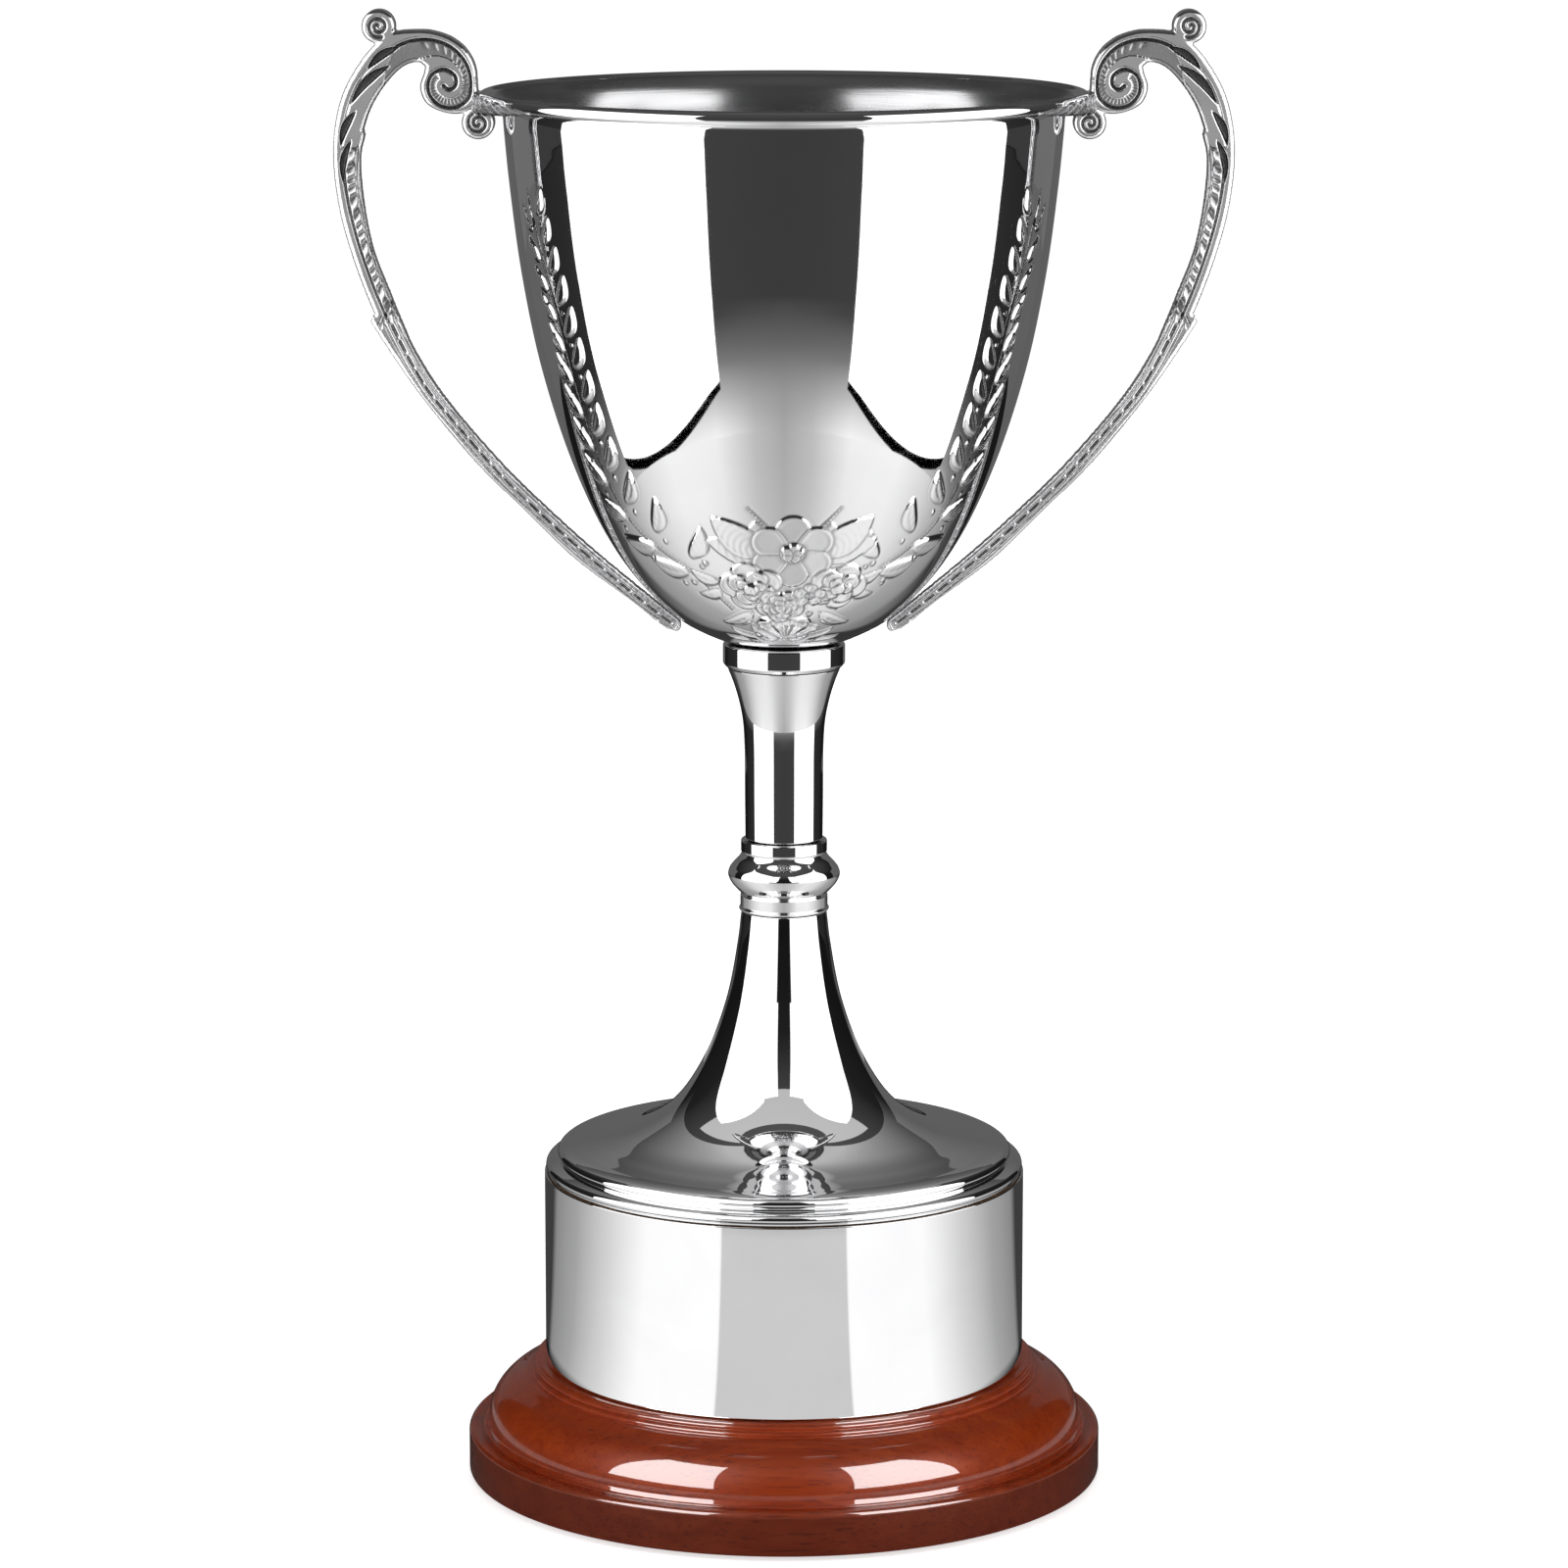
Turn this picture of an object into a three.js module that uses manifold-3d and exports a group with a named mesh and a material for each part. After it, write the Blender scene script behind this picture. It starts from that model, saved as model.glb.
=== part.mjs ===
// A two-handled cup trophy on a turned wooden plinth.
// Millimetres, +Z up, origin at the centre of the underside. The handles lie along X.
import * as THREE from 'three';
import { mergeVertices } from 'three/addons/utils/BufferGeometryUtils.js';
import Module from 'manifold-3d';

const wasm = await Module();
wasm.setup();

// Driving dimensions
const FIT_GAP = 0.3; // clearance between neighbouring pieces
const WALL = 1.2; // spun metal of the bowl, stem and foot
const LARGE_SIDES = 40; // facets round the large turned pieces
const SMALL_SIDES = 24; // facets round the stem pieces
const FINE_SIDES = 12; // facets round pins and screws

const PAD_THICKNESS = 1.2;
const PAD_RADIUS = 87; // set into a shallow recess in the base
const BASE_RADIUS = 91.35;
const BASE_BOTTOM = PAD_THICKNESS + FIT_GAP;
const LEDGE_Z = 32.5; // top of the moulded base, where the drum and band stand
const RECESS_RADIUS = 14; // pocket under the base for the lower nut
const RECESS_CEILING = 14;

const BAND_RADIUS = 69;
const BAND_THICKNESS = 0.8;
const BAND_BOTTOM = LEDGE_Z + FIT_GAP;
const BAND_TOP = 88;
const DRUM_RADIUS = BAND_RADIUS - BAND_THICKNESS - FIT_GAP;
const SEAM_WIDTH = 0.5; // the band's butt joint, at the back
const PIN_HEIGHTS = [42, 79];
const PIN_ANGLES = [-0.06, 0.06]; // radians either side of the seam

const SCREW_CIRCLE = 42; // radius at which the base is screwed to the drum
const SCREW_TIP = 56;
const SCREW_HEAD_Z = 9;

const ROD_RADIUS = 4; // M8 tie rod from the base to the bowl
const ROD_BORE = ROD_RADIUS + 0.4;
const ROD_BOTTOM = 4.5;
const ROD_TOP = 252;

const FOOT_BOTTOM = BAND_TOP + FIT_GAP;
const FOOT_TOP = 164;
const KNOP_BOTTOM = FOOT_TOP + FIT_GAP;
const KNOP_TOP = 184.8;
const STEM_BOTTOM = KNOP_TOP + FIT_GAP;
const STEM_TOP = 234.5;
const COLLAR_BOTTOM = STEM_TOP + FIT_GAP;
const COLLAR_TOP = 241.6;
const BOWL_BOTTOM = COLLAR_TOP + FIT_GAP;
const BOWL_FLAT_RADIUS = 16; // flat bottom of the bowl, on the collar
const LIP_Z = 395.6;
const BEAD_RING_RADIUS = 83.6; // centre line of the rim wire
const BEAD_RADIUS = 1.7;

const HANDLE_THICKNESS = 8; // along Y, at the scrolls
const HANDLE_TIP_THICKNESS = 5; // along Y, at the lower end
const LUG_ANGLE = 0.6; // radians of rim that each half of a lug follows

// Helpers

function point(r, z) {
  return new THREE.Vector2(r, z);
}

// Points of a smooth curve through a few places, given as [radius, height].
function smooth(places, divisions) {
  const curve = new THREE.SplineCurve(places.map(([r, z]) => point(r, z)));
  return curve.getPoints(divisions);
}

// Points of an arc from one angle to another, in degrees.
function arc(r, z, radius, from, to, divisions) {
  return Array.from({ length: divisions + 1 }, (_, i) => {
    const angle = THREE.MathUtils.degToRad(from + ((to - from) * i) / divisions);
    return point(r + radius * Math.cos(angle), z + radius * Math.sin(angle));
  });
}

// The same outline moved to its left-hand side by a distance.
function inset(points, distance) {
  return points.map((p, i) => {
    const before = points[Math.max(i - 1, 0)];
    const after = points[Math.min(i + 1, points.length - 1)];
    const along = after.clone().sub(before).normalize();
    return point(p.x - along.y * distance, p.y + along.x * distance);
  });
}

// A solid of revolution about Z from an outline of (radius, height) points.
// The outline runs up the outside, and closes on the axis or on itself.
function turned(points, sides) {
  const onAxis = points[0].x === 0;
  const outline = onAxis ? points : [...points, points[0].clone()];
  const geometry = new THREE.LatheGeometry(outline, sides);
  return geometry.rotateX(Math.PI / 2);
}

// A straight ring with a bore.
function ring(inner, outer, bottom, top, sides) {
  return turned([point(inner, bottom), point(outer, bottom), point(outer, top), point(inner, top)], sides);
}

// A solid bar along Z.
function bar(radius, bottom, top, sides) {
  return turned([point(0, bottom), point(radius, bottom), point(radius, top), point(0, top)], sides);
}

function toSolid(geometry) {
  const bare = geometry.clone();
  bare.deleteAttribute('normal');
  bare.deleteAttribute('uv');
  const merged = mergeVertices(bare, 1e-4);
  const mesh = new wasm.Mesh({
    numProp: 3,
    vertProperties: Float32Array.from(merged.attributes.position.array),
    triVerts: Uint32Array.from(merged.index.array),
  });
  return new wasm.Manifold(mesh);
}

function toGeometry(solid) {
  const mesh = solid.getMesh();
  const geometry = new THREE.BufferGeometry();
  geometry.setAttribute('position', new THREE.BufferAttribute(mesh.vertProperties, 3));
  geometry.setIndex(new THREE.BufferAttribute(mesh.triVerts, 1));
  return geometry;
}

// One geometry with others cut out of it.
function cut(geometry, cutters) {
  const remaining = cutters.reduce((solid, cutter) => solid.subtract(toSolid(cutter)), toSolid(geometry));
  return toGeometry(remaining);
}

// A geometry with its own Z axis laid along a horizontal radius, pointing outwards.
function laidOutward(geometry, angle, z) {
  return geometry
    .rotateY(Math.PI / 2)
    .rotateZ(angle)
    .translate(0, 0, z);
}

// Materials

function nickelPlate() {
  return new THREE.MeshStandardMaterial({ color: 0xd9d9dc, roughness: 0.08, metalness: 1 });
}

function castNickel() {
  return new THREE.MeshStandardMaterial({ color: 0xc9c9cc, roughness: 0.25, metalness: 1 });
}

function mahogany() {
  return new THREE.MeshStandardMaterial({ color: 0x6e2412, roughness: 0.15, metalness: 0 });
}

function rawWood() {
  return new THREE.MeshStandardMaterial({ color: 0x9c6b45, roughness: 0.7, metalness: 0 });
}

function greenBaize() {
  return new THREE.MeshStandardMaterial({ color: 0x1f4a34, roughness: 1, metalness: 0 });
}

function zincSteel() {
  return new THREE.MeshStandardMaterial({ color: 0xaaaaa6, roughness: 0.35, metalness: 1 });
}

const trophy = new THREE.Group();

function place(parent, name, geometry, material) {
  const mesh = new THREE.Mesh(geometry, material);
  mesh.name = name;
  parent.add(mesh);
  return mesh;
}

// Plinth

function baizePad() {
  return ring(RECESS_RADIUS - 2, PAD_RADIUS, 0, PAD_THICKNESS, LARGE_SIDES);
}

// Where the three screws stand, as angles about Z.
const screwAngles = [0, 1, 2].map((i) => (i * 2 * Math.PI) / 3);

function atScrew(geometry, angle) {
  return geometry.translate(SCREW_CIRCLE * Math.cos(angle), SCREW_CIRCLE * Math.sin(angle), 0);
}

// The moulded base: a vertical edge, a quirk, a quarter-round and two fine steps below the band.
function plinthBase() {
  const outline = [
    point(RECESS_RADIUS, BASE_BOTTOM),
    point(PAD_RADIUS + FIT_GAP, BASE_BOTTOM),
    point(PAD_RADIUS + FIT_GAP, FIT_GAP),
    point(BASE_RADIUS - 0.4, FIT_GAP),
    point(BASE_RADIUS, FIT_GAP + 0.4),
    ...arc(BASE_RADIUS - 2.6, 10.2, 2.6, 0, 90, 3),
    point(87.0, 12.3),
    point(86.0, 13.4),
    ...quarterRound(),
    point(73.2, 28.6),
    point(72.2, 29.2),
    point(72.2, 30.8),
    point(71.0, 31.2),
    point(71.0, LEDGE_Z),
    point(ROD_BORE, LEDGE_Z),
    point(ROD_BORE, RECESS_CEILING),
    point(RECESS_RADIUS, RECESS_CEILING),
  ];
  const cutters = screwAngles.flatMap((angle) => [
    atScrew(bar(5, 0, SCREW_HEAD_Z + 3.4, FINE_SIDES), angle),
    atScrew(bar(2.4, 0, LEDGE_Z + 2, FINE_SIDES), angle),
  ]);
  return cut(turned(outline, LARGE_SIDES), cutters);
}

// The base's quarter-round, a quarter of an ellipse from the quirk up to the steps.
function quarterRound() {
  const start = point(85.7, 14.2);
  const reach = 12.4;
  const rise = 13.9;
  return arc(0, 0, 1, 0, 82, 6).map((p) => point(start.x - reach + reach * p.x, start.y + rise * p.y));
}

function pinHoles() {
  return PIN_HEIGHTS.flatMap((z) =>
    PIN_ANGLES.map((angle) => laidOutward(bar(1.0, 61.5, BAND_RADIUS + 1, FINE_SIDES), Math.PI / 2 + angle, z)),
  );
}

function plinthDrum() {
  const body = ring(ROD_BORE, DRUM_RADIUS, BAND_BOTTOM, BAND_TOP, LARGE_SIDES);
  const pilotHoles = screwAngles.map((angle) => atScrew(bar(2.3, LEDGE_Z - 2, SCREW_TIP + 1, FINE_SIDES), angle));
  return cut(body, [...pinHoles(), ...pilotHoles]);
}

function plinthBand() {
  const sleeve = ring(BAND_RADIUS - BAND_THICKNESS, BAND_RADIUS, BAND_BOTTOM, BAND_TOP, LARGE_SIDES);
  const seam = new THREE.BoxGeometry(SEAM_WIDTH, 6, 80).translate(0, BAND_RADIUS, (BAND_BOTTOM + BAND_TOP) / 2);
  return cut(sleeve, [...pinHoles(), seam]);
}

// A round-headed pin, its axis along Z with the head at the far end.
function bandPin() {
  const headBase = BAND_RADIUS + FIT_GAP;
  return turned(
    [
      point(0, 62),
      point(0.4, 62.2),
      point(0.7, 63),
      point(0.7, headBase),
      point(1.5, headBase),
      point(1.2, headBase + 0.5),
      point(0, headBase + 0.8),
    ],
    FINE_SIDES,
  );
}

// A countersunk wood screw, driven up from below.
function drumScrew() {
  return turned(
    [
      point(0, SCREW_HEAD_Z),
      point(4.4, SCREW_HEAD_Z),
      point(4.4, SCREW_HEAD_Z + 0.6),
      point(2.0, SCREW_HEAD_Z + 3),
      point(2.0, SCREW_TIP - 6),
      point(0, SCREW_TIP),
    ],
    FINE_SIDES,
  );
}

// Tie rod and its fastenings

function hexagon(acrossFlats, bore, bottom, top) {
  const body = turned(
    [
      point(0, bottom),
      point(acrossFlats / Math.sqrt(3), bottom),
      point(acrossFlats / Math.sqrt(3), top),
      point(0, top),
    ],
    6,
  );
  return cut(body, [bar(bore, bottom - 1, top + 1, FINE_SIDES)]);
}

// A domed nut, open below, that closes over the end of the rod.
function capNut(bottom, acrossFlats) {
  const corner = acrossFlats / Math.sqrt(3);
  const hexPart = turned([point(0, bottom), point(corner, bottom), point(corner, bottom + 5), point(0, bottom + 5)], 6);
  const domeRadius = acrossFlats / 2 - 0.4;
  const dome = turned([point(0, bottom + 4), ...arc(0, bottom + 5, domeRadius, 0, 90, 5)], FINE_SIDES);
  const whole = toSolid(hexPart).add(toSolid(dome));
  const bore = toSolid(bar(ROD_BORE, bottom - 1, ROD_TOP + FIT_GAP, FINE_SIDES));
  return toGeometry(whole.subtract(bore));
}

// Foot, stem and knop

// The foot: a trumpet that spreads to two rounded tiers standing on the band.
function foot() {
  const flare = smooth(
    [[59.5, 96.1], [53.5, 97.3], [43.8, 99.9], [32.4, 107.2], [23.3, 120.3], [16.7, 137.6], [13.3, 154.8], [12.2, FOOT_TOP]],
    11,
  );
  const tiers = [
    point(67.6, FOOT_BOTTOM),
    ...arc(67.0, FOOT_BOTTOM + 1.6, 1.6, -60, 75, 3),
    point(65.4, FOOT_BOTTOM + 3.5),
    ...arc(63.0, FOOT_BOTTOM + 5.0, 2.1, -30, 80, 3),
    point(61.2, FOOT_BOTTOM + 7.3),
  ];
  const inside = inset(flare, WALL).reverse();
  const throat = [point(ROD_BORE, FOOT_TOP), point(ROD_BORE, FOOT_TOP - WALL)];
  const skirt = [point(63.2, FOOT_BOTTOM + 4.6), point(65.6, FOOT_BOTTOM + 2.4), point(65.6, FOOT_BOTTOM)];
  return turned([...tiers, ...flare, ...throat, ...inside.slice(1, -1), ...skirt], LARGE_SIDES);
}

// The knop: a lower band, a bead between two coves and an upper band.
function knop() {
  return turned(
    [
      point(ROD_BORE, KNOP_BOTTOM),
      point(12.5, KNOP_BOTTOM),
      point(12.6, KNOP_BOTTOM + 4.2),
      ...smooth([[12.6, 169.2], [13.9, 170.9], [15.1, 172.6], [16.0, 174.6], [15.7, 176.2], [14.6, 177.8], [12.9, 179.8], [12.1, 180.9]], 9),
      point(12.3, 181.2),
      point(12.3, KNOP_TOP),
      point(ROD_BORE, KNOP_TOP),
    ],
    SMALL_SIDES,
  );
}

// The upper stem: a tube that spreads like a trumpet to the collar.
function upperStem() {
  const side = smooth(
    [[11.05, STEM_BOTTOM], [11.2, 200], [11.4, 217], [12.3, 222.1], [14.1, 228.9], [16.1, STEM_TOP]],
    10,
  );
  const inside = inset(side, WALL).reverse();
  const neck = [point(ROD_BORE, STEM_TOP), point(ROD_BORE, STEM_TOP - WALL)];
  const seat = [point(inside.at(-1).x, STEM_BOTTOM)];
  return turned([...side, ...neck, ...inside.slice(1, -1), ...seat], SMALL_SIDES);
}

function stemCollar() {
  return turned(
    [
      point(ROD_BORE, COLLAR_BOTTOM),
      point(16.7, COLLAR_BOTTOM),
      point(17.4, COLLAR_BOTTOM + 0.9),
      point(17.4, COLLAR_TOP - 0.4),
      point(17.0, COLLAR_TOP),
      point(ROD_BORE, COLLAR_TOP),
    ],
    SMALL_SIDES,
  );
}

// Bowl

// The outside of the bowl, from its flat bottom up to the flared lip.
function bowlSide() {
  const wall = [
    [BOWL_FLAT_RADIUS, BOWL_BOTTOM],
    [23.0, 244.9],
    [30.0, 248.9],
    [40.8, 259.2],
    [50.2, 272.7],
    [59.6, 293.1],
    [68.1, 319.8],
    [73.5, 346.3],
    [76.8, 372.6],
    [78.2, 386.5],
  ];
  const lip = [point(79.2, 390.6), point(81.3, LIP_Z - 1.2)];
  return [...smooth(wall, 12), ...lip];
}

function bowl() {
  const side = bowlSide();
  const inside = inset(side, WALL).reverse();
  const floor = [point(ROD_BORE, BOWL_BOTTOM + WALL), point(ROD_BORE, BOWL_BOTTOM)];
  const edge = [point(81.3, LIP_Z + 0.8), point(80.4, LIP_Z + 0.8)];
  return turned([...side, ...edge, ...inside.slice(1), ...floor], LARGE_SIDES);
}

function rimBead() {
  const section = arc(BEAD_RING_RADIUS, LIP_Z, BEAD_RADIUS, -180, 150, 11);
  return turned(section, LARGE_SIDES);
}

// Everything that the handles have to stay clear of: the bowl and its bead, with the clearance added.
function bowlClearance() {
  const grown = inset(bowlSide(), -FIT_GAP);
  const bead = arc(BEAD_RING_RADIUS, LIP_Z, BEAD_RADIUS + FIT_GAP, -150, 90, 12);
  return turned([point(0, BOWL_BOTTOM - 2), point(BOWL_FLAT_RADIUS, BOWL_BOTTOM - 2), ...grown, ...bead, point(0, LIP_Z + 6)], LARGE_SIDES);
}

// Handles

const VOLUTE = { x: 93.6, z: 399.0, radius: 7.9 };
const TOP_SCROLL = { x: 112.8, z: 415.3, radius: 4.7 };
const LOWER_SCROLL = { x: 85.3, z: 388.6, radius: 4.6 };

// The handle seen from the front: (distance from the axis, height).
function handleOutline() {
  const outline = new THREE.Shape();
  const outerEdge = [[42.8, 253.2], [59.4, 265.8], [73.2, 279.4], [86.6, 292.8], [102.7, 312.8], [112.0, 326.6], [115.3, 334.0],
    [117.3, 341.2], [120.2, 349.3], [123.9, 362.5], [125.8, 377], [125.2, 388], [122.6, 397.5], [116.7, 407.2], [110.5, 413.6]];
  const crown = [[104.1, 414.3], [98, 414.1], [92.1, 412.0], [88.2, 408.6], [85.9, 404], [85.3, 398.5]];
  const volute = [[84.9, 393.4], [90.0, 391.2], [95.1, 391.6], [99.7, 394.1], [101.4, 398.5], [100.4, 402.9]];
  const innerEdge = [[101.6, 405.4], [105.8, 404.3], [111.6, 398.5], [115.5, 392.0], [117.2, 386.6], [117.9, 380.3],
    [117.5, 365.8], [114.9, 352.6], [109.9, 339.4], [104.5, 326.1], [96.4, 312.8], [79.7, 292.8], [66.2, 279.4], [51.4, 266.0]];
  const tip = [[35, 252.4], [29.2, 247.2], [29.9, 245.0], [33.0, 245.6]];
  outline.moveTo(36.5, 248.0);
  [outerEdge, crown, volute, innerEdge, tip].forEach((edge) => {
    outline.splineThru(edge.map(([x, z]) => point(x, z)));
  });
  return outline;
}

// Makes the casting thinner towards its lower end.
function thinned(geometry) {
  const places = geometry.attributes.position;
  for (let i = 0; i < places.count; i += 1) {
    const share = THREE.MathUtils.smoothstep(places.getZ(i), 250, 380);
    const thickness = THREE.MathUtils.lerp(HANDLE_TIP_THICKNESS, HANDLE_THICKNESS, share);
    places.setY(i, (places.getY(i) * thickness) / HANDLE_THICKNESS);
  }
  return geometry;
}

function disc({ x, z, radius }) {
  return bar(radius, -HANDLE_THICKNESS / 2, HANDLE_THICKNESS / 2, SMALL_SIDES)
    .rotateX(Math.PI / 2)
    .translate(x, 0, z);
}

// The lug: a crescent that holds the rim on both sides of the handle.
function rimLug() {
  const outerArc = { x: 22, radius: 65.6 };
  const crescent = new THREE.Shape();
  crescent.absarc(0, 0, BEAD_RING_RADIUS - 1.5, -LUG_ANGLE, LUG_ANGLE, false);
  crescent.absarc(outerArc.x, 0, outerArc.radius, 0.79, -0.79, true);
  const geometry = new THREE.ExtrudeGeometry(crescent, { depth: 4.6, bevelEnabled: false, curveSegments: 12 });
  return geometry.translate(0, 0, 391.4);
}

function handle() {
  const limb = new THREE.ExtrudeGeometry(handleOutline(), {
    depth: HANDLE_THICKNESS,
    bevelEnabled: false,
    curveSegments: 3,
  });
  limb.translate(0, 0, -HANDLE_THICKNESS / 2).rotateX(Math.PI / 2);
  const pieces = [thinned(limb), disc(VOLUTE), disc(TOP_SCROLL), disc(LOWER_SCROLL), rimLug()];
  const whole = pieces.map(toSolid).reduce((sum, piece) => sum.add(piece));
  return toGeometry(whole.subtract(toSolid(bowlClearance())));
}

// Assembly

place(trophy, 'baize_pad', baizePad(), greenBaize());
place(trophy, 'plinth_base', plinthBase(), mahogany());
place(trophy, 'plinth_drum', plinthDrum(), rawWood());
place(trophy, 'plinth_band', plinthBand(), nickelPlate());

PIN_HEIGHTS.forEach((z, row) => {
  PIN_ANGLES.forEach((angle, column) => {
    const pin = laidOutward(bandPin(), Math.PI / 2 + angle, z);
    place(trophy, `band_pin_${row * 2 + column + 1}`, pin, nickelPlate());
  });
});

screwAngles.forEach((angle, i) => {
  place(trophy, `drum_screw_${i + 1}`, atScrew(drumScrew(), angle), zincSteel());
});

const washerTop = RECESS_CEILING - FIT_GAP;
const washerThickness = 1.6;
const nutTop = washerTop - washerThickness - FIT_GAP;
place(trophy, 'tie_rod', bar(ROD_RADIUS, ROD_BOTTOM, ROD_TOP, FINE_SIDES), zincSteel());
place(trophy, 'lower_washer', ring(ROD_BORE, 12, washerTop - washerThickness, washerTop, SMALL_SIDES), zincSteel());
place(trophy, 'lower_nut', hexagon(13, ROD_BORE, nutTop - 6.5, nutTop), zincSteel());

place(trophy, 'foot', foot(), nickelPlate());
place(trophy, 'knop', knop(), nickelPlate());
place(trophy, 'upper_stem', upperStem(), nickelPlate());
place(trophy, 'stem_collar', stemCollar(), nickelPlate());

const bowlFloor = BOWL_BOTTOM + WALL + FIT_GAP;
place(trophy, 'bowl', bowl(), nickelPlate());
place(trophy, 'rim_bead', rimBead(), nickelPlate());
place(trophy, 'bowl_washer', ring(ROD_BORE, 11, bowlFloor, bowlFloor + washerThickness, SMALL_SIDES), zincSteel());
place(trophy, 'cap_nut', capNut(bowlFloor + washerThickness + FIT_GAP, 13), nickelPlate());

place(trophy, 'handle_right', handle(), castNickel());
place(trophy, 'handle_left', handle(), castNickel()).rotation.z = Math.PI;

export default trophy;
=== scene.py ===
# The looks of a two-handled cup trophy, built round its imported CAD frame.
import math

import bpy
import numpy as np
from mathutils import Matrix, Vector


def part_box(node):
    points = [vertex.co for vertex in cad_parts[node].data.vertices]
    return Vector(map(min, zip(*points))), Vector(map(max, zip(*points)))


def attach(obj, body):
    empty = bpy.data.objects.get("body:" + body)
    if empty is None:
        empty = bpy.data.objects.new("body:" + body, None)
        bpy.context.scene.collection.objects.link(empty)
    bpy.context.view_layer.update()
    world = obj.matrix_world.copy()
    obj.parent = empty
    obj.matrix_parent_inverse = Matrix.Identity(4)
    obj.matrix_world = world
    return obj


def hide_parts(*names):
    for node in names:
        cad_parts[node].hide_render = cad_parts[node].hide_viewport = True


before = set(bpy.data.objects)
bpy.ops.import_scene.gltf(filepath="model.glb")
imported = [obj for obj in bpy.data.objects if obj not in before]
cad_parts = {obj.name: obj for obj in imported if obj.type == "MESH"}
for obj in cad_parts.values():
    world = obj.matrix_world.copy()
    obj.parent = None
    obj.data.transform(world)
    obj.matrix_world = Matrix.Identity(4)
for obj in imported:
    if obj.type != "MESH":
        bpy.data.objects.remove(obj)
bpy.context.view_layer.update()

MM = 0.001  # outlines below are in millimetres, and meshes are in metres


# ---------------------------------------------------------------- camera

CAMERA_DISTANCE = 1.677
CAMERA_HEIGHT = 0.5132
CAMERA_PITCH = math.radians(10.561)
LENS = 137.4


def add_camera():
    data = bpy.data.cameras.new("camera")
    data.lens = LENS
    data.sensor_width = 36
    camera = bpy.data.objects.new("camera", data)
    camera.location = (0, -CAMERA_DISTANCE, CAMERA_HEIGHT)
    camera.rotation_euler = (math.pi / 2 - CAMERA_PITCH, 0, 0)
    bpy.context.scene.collection.objects.link(camera)
    bpy.context.scene.camera = camera


add_camera()


# ---------------------------------------------------------------- node helpers


def new_material(name):
    material = bpy.data.materials.new(name)
    material.use_nodes = True
    tree = material.node_tree
    shader = next(n for n in tree.nodes if n.type == "BSDF_PRINCIPLED")
    return material, tree, shader


def feed(tree, socket, value):
    """Links a socket to another node's output, or gives it a constant."""
    if isinstance(value, bpy.types.NodeSocket):
        tree.links.new(value, socket)
    else:
        socket.default_value = value


def add_node(tree, kind, settings=None, **inputs):
    """A node with its settings and the values or links of its inputs, by input name."""
    node = tree.nodes.new(kind)
    for key, value in (settings or {}).items():
        setattr(node, key, value)
    for key, value in inputs.items():
        feed(tree, node.inputs[key.replace("_", " ")], value)
    return node


def position(tree):
    return add_node(tree, "ShaderNodeNewGeometry").outputs["Position"]


def upward(tree, vector):
    """The Z part of a vector."""
    return add_node(tree, "ShaderNodeSeparateXYZ", Vector=vector).outputs[2]


def length(tree, vector):
    node = add_node(tree, "ShaderNodeVectorMath", {"operation": "LENGTH"})
    tree.links.new(vector, node.inputs[0])
    return node.outputs["Value"]


def stretched(tree, scale):
    """The position, stretched by a factor along each axis."""
    mapping = add_node(tree, "ShaderNodeMapping", Vector=position(tree), Scale=scale)
    return mapping.outputs["Vector"]


def noise(tree, vector, scale, detail=3.0, distortion=0.0):
    node = add_node(
        tree, "ShaderNodeTexNoise", Vector=vector, Scale=scale, Detail=detail, Distortion=distortion
    )
    return node.outputs["Fac"]


def ramp(tree, factor, stops):
    """A colour ramp. Stops are (place, colour or grey level)."""
    node = add_node(tree, "ShaderNodeValToRGB", Fac=factor)
    elements = node.color_ramp.elements
    while len(elements) < len(stops):
        elements.new(0.5)
    for element, (place, colour) in zip(elements, stops):
        element.position = place
        level = (colour,) * 3 if isinstance(colour, float) else colour
        element.color = (*level, 1.0)
    return node.outputs["Color"]


def remap(tree, value, low, high):
    node = add_node(tree, "ShaderNodeMapRange", Value=value, To_Min=low, To_Max=high)
    return node.outputs["Result"]


def math_node(tree, operation, *values):
    node = add_node(tree, "ShaderNodeMath", {"operation": operation})
    for socket, value in zip(node.inputs, values):
        feed(tree, socket, value)
    return node.outputs[0]


def multiply(tree, a, b, factor=1.0):
    node = add_node(tree, "ShaderNodeMix", {"data_type": "RGBA", "blend_type": "MULTIPLY"})
    node.inputs[0].default_value = factor
    tree.links.new(a, node.inputs[6])
    tree.links.new(b, node.inputs[7])
    return node.outputs[2]


def mix(tree, factor, a, b):
    node = add_node(tree, "ShaderNodeMix", {"data_type": "RGBA"})
    for place, value in ((0, factor), (6, a), (7, b)):
        tree.links.new(value, node.inputs[place])
    return node.outputs[2]


def set_shader(tree, shader, **inputs):
    for key, value in inputs.items():
        feed(tree, shader.inputs[key.replace("_", " ")], value)


def add_bump(tree, shader, height, strength, distance):
    bump = add_node(tree, "ShaderNodeBump", Height=height, Strength=strength, Distance=distance)
    tree.links.new(bump.outputs["Normal"], shader.inputs["Normal"])


def cavity(tree):
    """0 on raised surfaces to 1 in the deepest recesses, stored on the mesh."""
    return add_node(tree, "ShaderNodeAttribute", {"attribute_name": "cavity"}).outputs["Fac"]


# ---------------------------------------------------------------- materials


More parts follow.
